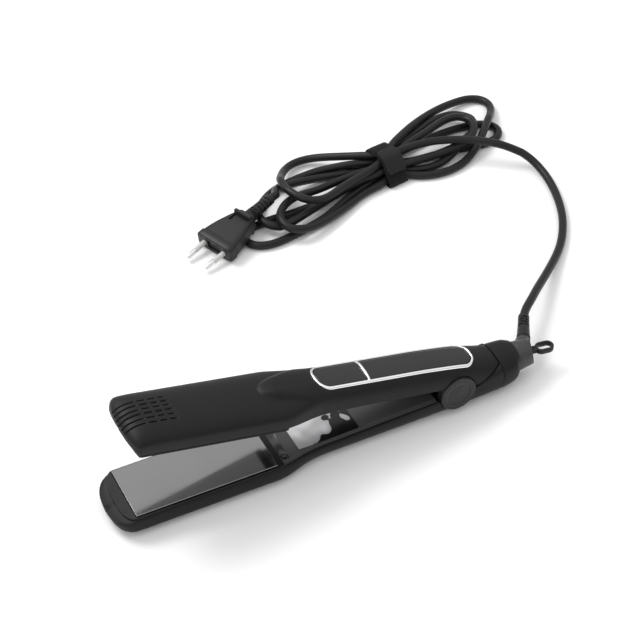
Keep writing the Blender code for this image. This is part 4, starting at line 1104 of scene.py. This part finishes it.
# ---------------------------------------------------------------- display and key

BEZEL_X0, BEZEL_X1, BEZEL_HALF, BEZEL_CORNER = -103.5, 13.3, 11.0, 9.0
DIVIDER_X = -67.4
KEY_SPAN = (BEZEL_X0 + 1.9, DIVIDER_X - 0.9)
DISPLAY_SPAN = (DIVIDER_X + 0.9, BEZEL_X1 - 1.9)
WINDOW_HALF = BEZEL_HALF - 1.7
WINDOW_GAP = 0.3
BACK_ROWS = UPPER_ROWS + [(13.0, 15.9, 14.0, 4.4, 3.2, 19.2), (25.0, 15.6, 13.0, 10.8, 1.2, 17.6)]


def back_height(x, y):
    w, wr, dr, dc, db = table(BACK_ROWS, x)
    t = min(0.97, abs(y) / w)
    return dc + (db - dc) * (1.0 - t ** POWER) ** (1.0 / POWER) - EDGE_GAP


def window_outline(x0, x1, half, r0, r1, arc=14, span=3.0):
    """Outline with rounded ends as a closed loop of (x, y), close enough to follow the curved back."""
    loop = []
    corners = [(x0 + r0, -half + r0, r0, math.pi), (x1 - r1, -half + r1, r1, 1.5 * math.pi),
               (x1 - r1, half - r1, r1, 0.0), (x0 + r0, half - r0, r0, 0.5 * math.pi)]
    for cx, cy, r, a0 in corners:
        turns = [a0 + math.pi / 2 * k / arc for k in range(arc + 1)]
        loop += [(cx + r * math.cos(a), cy + r * math.sin(a)) for a in turns]
    out = []
    for k, p in enumerate(loop):
        q = loop[(k + 1) % len(loop)]
        steps = max(1, int(math.hypot(q[0] - p[0], q[1] - p[1]) / span))
        out += [(p[0] + (q[0] - p[0]) * m / steps, p[1] + (q[1] - p[1]) * m / steps) for m in range(steps)]
    return out


def on_back(x, y, lift):
    return arm_point(x, y, back_height(x, y) + lift)


def resample(loop, count):
    p = np.array(loop + loop[:1])
    gap = np.linalg.norm(np.diff(p, axis=0), axis=1)
    at = np.concatenate([[0.0], np.cumsum(gap)])
    want = np.linspace(0.0, at[-1], count, endpoint=False)
    return [(float(np.interp(t, at, p[:, 0])), float(np.interp(t, at, p[:, 1]))) for t in want]


def make_bezel():
    """Bright frame: a rounded hoop that follows the handle's back, with a bar across it."""
    depth = [(0.0, -1.8), (0.0, 0.2), (0.16, 0.52), (0.45, 0.72), (0.85, 0.8), (1.25, 0.72), (1.55, 0.5),
             (1.7, 0.15), (1.74, -1.8)]
    rings = []
    for inset, lift in depth:
        loop = window_outline(BEZEL_X0 + inset, BEZEL_X1 - inset, BEZEL_HALF - inset, BEZEL_CORNER - inset,
                              BEZEL_CORNER - inset)
        rings.append([on_back(x, y, lift) for x, y in resample(loop, 220)])
    hoop = ring_loft(rings)
    section = [(-0.88, -1.8), (-0.88, 0.2), (-0.55, 0.5), (0.0, 0.62), (0.55, 0.5), (0.88, 0.2), (0.88, -1.8)]
    bar = []
    for k in range(21):
        y = -WINDOW_HALF - 0.3 + (2 * WINDOW_HALF + 0.6) * k / 20
        bar.append([on_back(DIVIDER_X + dx, y, lift) for dx, lift in section])
    return new_piece("display_frame", *join([hoop, loft(bar)]), M["chrome"], 50.0)


def glossy_slab(name, window, r0, r1, dish):
    """Polished slab filling a window, its edges rounded and its face slightly dished."""
    x0, x1 = window[0] + WINDOW_GAP, window[1] - WINDOW_GAP
    half = WINDOW_HALF - WINDOW_GAP

    def outline(inset):
        return resample(window_outline(x0 + inset, x1 - inset, half - inset, max(0.2, r0 - inset),
                                       max(0.2, r1 - inset)), 160)

    rings = []
    for inset, lift in ((0.0, -1.8), (0.0, -0.35), (0.12, -0.12), (0.4, 0.02)):
        rings.append([on_back(x, y, lift) for x, y in outline(inset)])
    for f in (0.9, 0.75, 0.55, 0.35, 0.15):
        reach = half * (1 - f)
        rings.append([on_back(min(max(x, x0 + reach), x1 - reach), y * f, 0.02 - dish * (1.0 - f))
                      for x, y in outline(0.4)])
    return new_piece(name, *loft(rings), M["window"], 35.0)


# ---------------------------------------------------------------- inner covers, screws and label

SCREW_X, SCREW_Y = -123.4, 13.3


def make_cover(name, rows, put):
    """Thin cover inside an arm, with a raised lip along both edges and a hole for each screw."""
    rings = []
    for x in list(np.arange(-126.5, -95.0, 1.0)) + list(np.arange(-95.0, -14.5, 4.0)) + [-14.5]:
        rim, dr = table(rows, x)[1:3]
        hw = rim - WALL - 0.3
        top = [(-hw, 0.65), (-hw + 0.35, 0.3), (-hw + 1.3, 0.3), (-hw + 1.6, 0.52), (-hw + 2.0, 0.52),
               (-hw + 2.3, 0.3), (0.0, 0.3), (hw - 2.3, 0.3), (hw - 2.0, 0.52), (hw - 1.6, 0.52),
               (hw - 1.3, 0.3), (hw - 0.35, 0.3), (hw, 0.65)]
        rings.append([put(x, y, dr + d) for y, d in top] + [put(x, hw, dr + 1.9), put(x, -hw, dr + 1.9)])
    obj = new_piece(name, *loft(rings), M["satin"], 30.0)
    hole = [(-0.5, 3.0), (8.0, 3.0)]
    subtract(obj, *join([loft(round_rings(put, SCREW_X, y, hole)) for y in (-SCREW_Y, SCREW_Y)]))
    return obj


def make_screw(name, y, depth, put):
    """Countersunk screw with a cross recess."""
    profile = [(depth + 0.25, 2.2), (depth, 2.35), (depth + 0.12, 2.6), (depth + 1.2, 2.6),
               (depth + 1.8, 1.3), (depth + 7.5, 1.3)]
    obj = new_piece(name, *loft(round_rings(put, SCREW_X, y, profile)), M["screw"], 30.0)
    turn = 0.5 if y < 0 else 1.1
    c, s = math.cos(turn), math.sin(turn)
    for long, wide in ((1.7, 0.42), (0.42, 1.7)):
        v, f = box(-long, long, -wide, wide, depth - 0.5, depth + 1.0)
        subtract(obj, [put(SCREW_X + p[0] * c - p[1] * s, y + p[0] * s + p[1] * c, p[2]) for p in v], f)
    return obj


def make_label():
    section = [(-10.8, 0.22), (10.8, 0.22), (10.8, 0.0), (10.6, -0.08), (-10.6, -0.08), (-10.8, 0.0)]
    rings = []
    for x in np.arange(-112.0, -69.29, 2.135):
        dr = table(LOWER_ROWS, x)[2]
        rings.append([low_point(x, y, dr + d) for y, d in section])
    return new_piece("inner_film_label", *loft(rings), M["label"], 30.0)


# ---------------------------------------------------------------- hinge discs, collar, tail, loop

def make_disc(tag, s):
    """Hinge cap: a shallow dish with raised rings of no maker's pattern."""
    rows = [(15.5, 12.2), (15.6, 12.65), (16.75, 12.65), (17.0, 12.5), (17.12, 12.2), (17.12, 11.3),
            (16.95, 11.1), (16.95, 10.75), (17.12, 10.55), (17.16, 9.2), (17.05, 8.75), (16.75, 8.55),
            (16.7, 7.6), (16.78, 6.1), (16.95, 5.95), (17.0, 5.75), (17.0, 5.1), (16.95, 4.9), (16.8, 4.75),
            (16.82, 3.2), (17.0, 3.05), (17.04, 2.7), (17.04, 0.4)]
    rings = [[(c, s * y, HINGE_Z + h) for c, h in circle(96, r)] for y, r in rows]
    return new_piece("hinge_cap_" + tag, *loft(rings), M["disc"], 28.0)


def super_ring(x, w, h, zc, count=96, front=None):
    ring = []
    for c, s in circle(count):
        y = w * math.copysign(abs(c) ** (2.0 / 2.3), c)
        z = zc + h * math.copysign(abs(s) ** (2.0 / 2.3), s)
        ring.append((x if front is None else math.sqrt(front ** 2 - (z - HINGE_Z) ** 2), y, z))
    return ring


def make_collar():
    rings = [super_ring(0, 15.2, 13.4, 14.1, front=35.0), super_ring(0, 15.5, 13.7, 14.1, front=35.3)]
    rows = [(36.6, 15.6, 13.8, 14.1), (37.6, 15.5, 13.7, 14.1), (41.0, 15.2, 13.4, 14.3),
            (44.0, 14.7, 13.0, 14.65), (46.2, 14.1, 12.55, 14.95), (46.7, 13.9, 12.4, 15.05),
            (47.0, 13.65, 12.2, 15.1), (49.6, 11.45, 11.15, 15.75), (49.95, 11.0, 10.9, TAIL_Z),
            (50.0, 10.6, 10.6, TAIL_Z)]
    for k in range(len(rows) - 1):
        a, b = rows[k], rows[k + 1]
        steps = max(1, int((b[0] - a[0]) / 1.0))
        for m in range(steps):
            f = m / steps
            rings.append(super_ring(*[p + (q - p) * f for p, q in zip(a, b)]))
    rings.append(super_ring(*rows[-1]))
    for x in (50.0, 47.4):
        rings.append([(x, c, TAIL_Z + s) for c, s in circle(96, 9.0)])
    for x, w, h, zc in ((47.4, 11.2, 10.4, 15.2), (44.0, 12.8, 11.4, 14.9), (38.0, 13.6, 11.9, 14.1)):
        rings.append(super_ring(x, w, h, zc))
    rings.append(super_ring(0, 13.8, 12.0, 14.1, front=35.0))
    return new_piece("collar_rear", *ring_loft(rings), M["soft"], 24.0)


END_CUT = np.array([64.4, 0.0, TAIL_Z])
END_N = np.array([0.93, -0.33, 0.15]) / np.linalg.norm([0.93, -0.33, 0.15])


def make_tail():
    """Turned tail with a boss for the strain relief, cut off at a slant behind."""
    start = (0.0, 0.0, TAIL_Z)
    profile = [(57.0, 0.3), (55.5, 3.2), (43.2, 3.2), (43.2, 9.6), (43.4, 9.8), (45.2, 9.8), (45.4, 9.6),
               (45.4, 8.7), (50.25, 8.7), (50.3, 9.7), (50.5, 10.05), (51.1, 10.2), (51.9, 10.12),
               (52.1, 9.9), (52.3, 9.9), (52.5, 10.02), (60.0, 9.1), (70.0, 7.9)]
    obj = new_piece("tail_swivel", *revolve(start, (1.0, 0.0, 0.0), profile, 96), M["tail"], 24.0)
    boss = [(0.5, 6.4), (8.6, 6.25), (9.4, 6.1), (10.6, 5.75), (11.3, 5.6), (11.6, 5.3)]
    add_body(obj, *revolve(ELBOW, RELIEF_DIR, boss, 72))
    subtract(obj, *revolve(END_CUT, END_N, [(0.0, 30.0), (20.0, 30.0)], 4))
    return obj


def make_loop():
    """Flat hanging loop behind the tail, its edges rounded."""
    turn = math.radians(-8.0)
    count = 72
    x0, x1, hw = 2.4, 15.6, 4.4
    c, s = math.cos(turn), math.sin(turn)

    def put(x, y, z):
        return (64.9 + x * c - y * s, x * s + y * c, TAIL_Z - 0.2 + z)

    def at(a, r, z):
        cx = (x1 - hw) if math.cos(a) > 0 else (x0 + hw)
        return put(cx + r * math.cos(a), r * math.sin(a), z)

    rings = []
    for r, z in ((4.4, -1.4), (4.4, 1.4), (4.2, 1.75), (3.9, 1.85), (3.05, 1.85), (2.75, 1.75), (2.55, 1.4),
                 (2.55, -1.4), (2.75, -1.75), (3.05, -1.85), (3.9, -1.85), (4.2, -1.75)):
        rings.append([at(2 * math.pi * (k + 0.5) / count, r, z) for k in range(count)])
    obj = new_piece("loop_for_hanging", *ring_loft(rings), M["rubber"], 30.0)
    v, f = box(-0.1, 3.6, -2.2, 2.2, -1.5, 1.5)
    add_body(obj, placed(v, put), f)
    subtract(obj, *revolve(END_CUT + END_N * 0.15, -END_N, [(0.0, 30.0), (20.0, 30.0)], 4))
    return obj


# ---------------------------------------------------------------- plug

def plug_point(t, a, b):
    return tuple(PLUG_BASE + PLUG_BACK * t + PLUG_SIDE * a + PLUG_UP * b)


def plug_section(t, hw, hh, px, pz, count=72):
    return [plug_point(t, hw * math.copysign(abs(c) ** px, c), hh * math.copysign(abs(s) ** pz, s))
            for c, s in circle(count)]


def plug_block(t0, t1, a0, a1, b0, b1):
    v, f = box(t0, t1, a0, a1, b0, b1)
    return [plug_point(*p) for p in v], f


def make_plug_body():
    rows = [(0.0, 15.6, 5.7), (0.3, 16.1, 6.2), (0.9, 16.4, 6.5), (5.6, 16.4, 6.6), (6.1, 16.1, 6.4),
            (6.3, 15.3, 6.1), (6.6, 15.2, 6.1), (7.0, 15.35, 6.35), (12.0, 14.6, 6.4), (18.0, 13.1, 6.4),
            (24.0, 11.2, 6.35), (29.0, 9.4, 6.3), (33.0, 8.0, 6.2), (35.2, 7.2, 5.9), (36.0, 6.6, 5.4)]
    rings = [plug_section(t, w, h, 0.34, 0.30) for t, w, h in rows]
    obj = new_piece("plug_shell", *loft(rings), M["rubber"], 26.0)
    for sign in (-1.0, 1.0):
        b0, b1 = (4.9, 9.0) if sign > 0 else (-9.0, -4.9)
        subtract(obj, *plug_block(22.8, 29.8, -6.6, 6.6, b0, b1))
        rings = []
        for t, half, top in ((30.2, 7.4, 6.0), (30.4, 7.6, 8.6), (30.9, 7.6, 9.0), (32.2, 7.4, 9.0),
                             (32.8, 7.3, 8.6), (34.2, 7.0, 6.0)):
            rings.append([plug_point(t, -half, sign * 4.0), plug_point(t, half, sign * 4.0),
                          plug_point(t, half, sign * (top - 0.3)), plug_point(t, half - 0.3, sign * top),
                          plug_point(t, -half + 0.3, sign * top), plug_point(t, -half, sign * (top - 0.3))])
        add_body(obj, *loft(rings))
    subtract(obj, *plug_block(-1.0, 1.3, -6.2, 6.2, -3.4, 3.4))
    finish_mesh(obj, M["rubber"], 30.0)
    return obj


def make_pins():
    """Two pins that lean a little towards each other, each with an insulating sleeve at its foot."""
    out = []
    sleeve = [(0.0, 1.35), (0.0, 1.95), (9.7, 1.95), (9.95, 1.85), (10.0, 1.35)]
    pin = [(0.2, 1.2), (10.1, 1.2), (10.1, 1.9), (10.25, 2.0), (17.4, 2.0), (18.2, 1.85), (18.7, 1.5),
           (19.0, 0.8)]
    for k, sign in enumerate((-1.0, 1.0)):
        foot = PLUG_BASE + PLUG_SIDE * (sign * 9.3)
        lean = -PLUG_BACK - PLUG_SIDE * (sign * 0.03)
        lean /= np.linalg.norm(lean)
        rings = turned_rings(foot, lean, sleeve, 48)
        out.append(new_piece("pin_cover_%d" % (k + 1), *ring_loft(rings), M["sleeve"], 30.0))
        out.append(new_piece("pin_metal_%d" % (k + 1), *revolve(foot, lean, pin, 48), M["pin"], 30.0))
    return out


# ---------------------------------------------------------------- pieces kept from the CAD

def refined(node, name, mat, width):
    """Copy of a CAD piece with its triangles merged and its edges softly broken."""
    bm = bmesh.new()
    bm.from_mesh(bpy.data.objects[node].data)
    bmesh.ops.remove_doubles(bm, verts=bm.verts, dist=0.000004)
    bmesh.ops.dissolve_limit(bm, angle_limit=math.radians(1.0), verts=bm.verts, edges=bm.edges)
    mesh = bpy.data.meshes.new(name)
    bm.to_mesh(mesh)
    bm.free()
    for attr in [a.name for a in mesh.attributes if a.name == "custom_normal"]:
        mesh.attributes.remove(mesh.attributes[attr])
    obj = bpy.data.objects.new(name, mesh)
    bpy.context.scene.collection.objects.link(obj)
    finish_mesh(obj, mat, 30.0)
    if width:
        bevel(obj, width, 35.0)
    return obj


def repaint(node, mat):
    obj = bpy.data.objects[node]
    obj.data.materials.clear()
    obj.data.materials.append(mat)


def give(obj, body, slot, *nodes):
    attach(obj, body)
    if nodes:
        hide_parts(*nodes)


# ---------------------------------------------------------------- build it all

make_camera()
make_floor()
make_light()
make_materials()

BLEND_FROM, BLEND_TO = (0.156, 0.031, 0.0158), (0.156, 0.095, 0.0158)
cord, line = make_cord()
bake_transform(cord, "cord_swivel", "lower_arm", start=BLEND_FROM, end=BLEND_TO)
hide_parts("cord_tube", "cord_hank")
tie, lap = make_tie(line)
give(tie, "lower_arm", "felt", "cord_tie")
give(lap, "lower_arm", "felt", "cord_tie")

relief_root = ELBOW + RELIEF_DIR * RELIEF_START
iron_relief = brick_relief("relief_at_iron", relief_root, RELIEF_DIR, RELIEF_LEN, 4.9, 3.8, M["rubber"],
                           12.2, 4, True)
give(iron_relief, "cord_swivel", "rubber_black", "cord_relief")
plug_relief = brick_relief("relief_at_plug", PLUG_BASE + PLUG_BACK * 36.3, PLUG_BACK, 23.6, 5.6, 4.0,
                           M["rubber"], 2.0, 6, False)
give(plug_relief, "lower_arm", "rubber_black", "plug_relief")
plug_shell = make_plug_body()
give(plug_shell, "lower_arm", "rubber_black", "plug_body")
pins = make_pins()
for k in range(2):
    give(pins[2 * k], "lower_arm", "sleeve", "pin_sleeve_%d" % (k + 1))
    give(pins[2 * k + 1], "lower_arm", "chrome", "plug_pin_%d" % (k + 1))

give(make_lower_casing(), "lower_arm", "soft_black", "lower_shell")
give(make_upper_casing(), "upper_arm", "soft_black", "upper_shell")
for arm, rows, put in (("lower", LOWER_ROWS, low_point), ("upper", UPPER_ROWS, up_point)):
    body = arm + "_arm"
    give(refined(arm + "_frame", arm + "_carrier", M["soft"], 0.25), body, "satin_grey", arm + "_frame")
    give(refined(arm + "_plate", arm + "_hot_plate", M["plate"], 0.12), arm + "_heater_plate", "plate_metal",
         arm + "_plate")
    give(make_cover(arm + "_inner_cover", rows, put), body, "satin_grey", arm + "_cover")
    depth = table(rows, SCREW_X)[2] + 0.7
    for k, y in enumerate((-SCREW_Y, SCREW_Y)):
        give(make_screw("%s_cover_screw_%d" % (arm, k + 1), y, depth, put), body, "steel",
             "%s_screw_%d" % (arm, k + 1))
    repaint(arm + "_heater", M["ceramic"])
    repaint(arm + "_pad_front", M["silicone"])
    repaint(arm + "_pad_rear", M["silicone"])
give(make_label(), "lower_arm", "label", "inner_label")
give(make_bezel(), "upper_arm", "chrome", "display_bezel")
give(glossy_slab("key_cap", KEY_SPAN, 7.0, 0.5, 0.15), "key", "gloss_black", "power_key")
give(glossy_slab("display_window", DISPLAY_SPAN, 0.5, 7.0, 0.0), "upper_arm", "gloss_black", "display_lens")
for tag, s in (("near", -1.0), ("far", 1.0)):
    give(make_disc(tag, s), "lower_arm", "disc_grey", "hinge_disc_" + tag)
    repaint("hinge_bush_" + tag, M["soft"])
    repaint("hinge_knuckle_" + tag, M["steel"])
give(make_collar(), "lower_arm", "soft_black", "rear_collar")
give(make_tail(), "cord_swivel", "tail_grey", "swivel_tail")
give(make_loop(), "cord_swivel", "rubber_black", "hang_loop")
repaint("circuit_board", M["board"])
repaint("display_module", M["window"])
for node in ("hinge_pin", "hinge_spring", "key_switch"):
    repaint(node, M["steel"])

path = [place(p) for p in line]
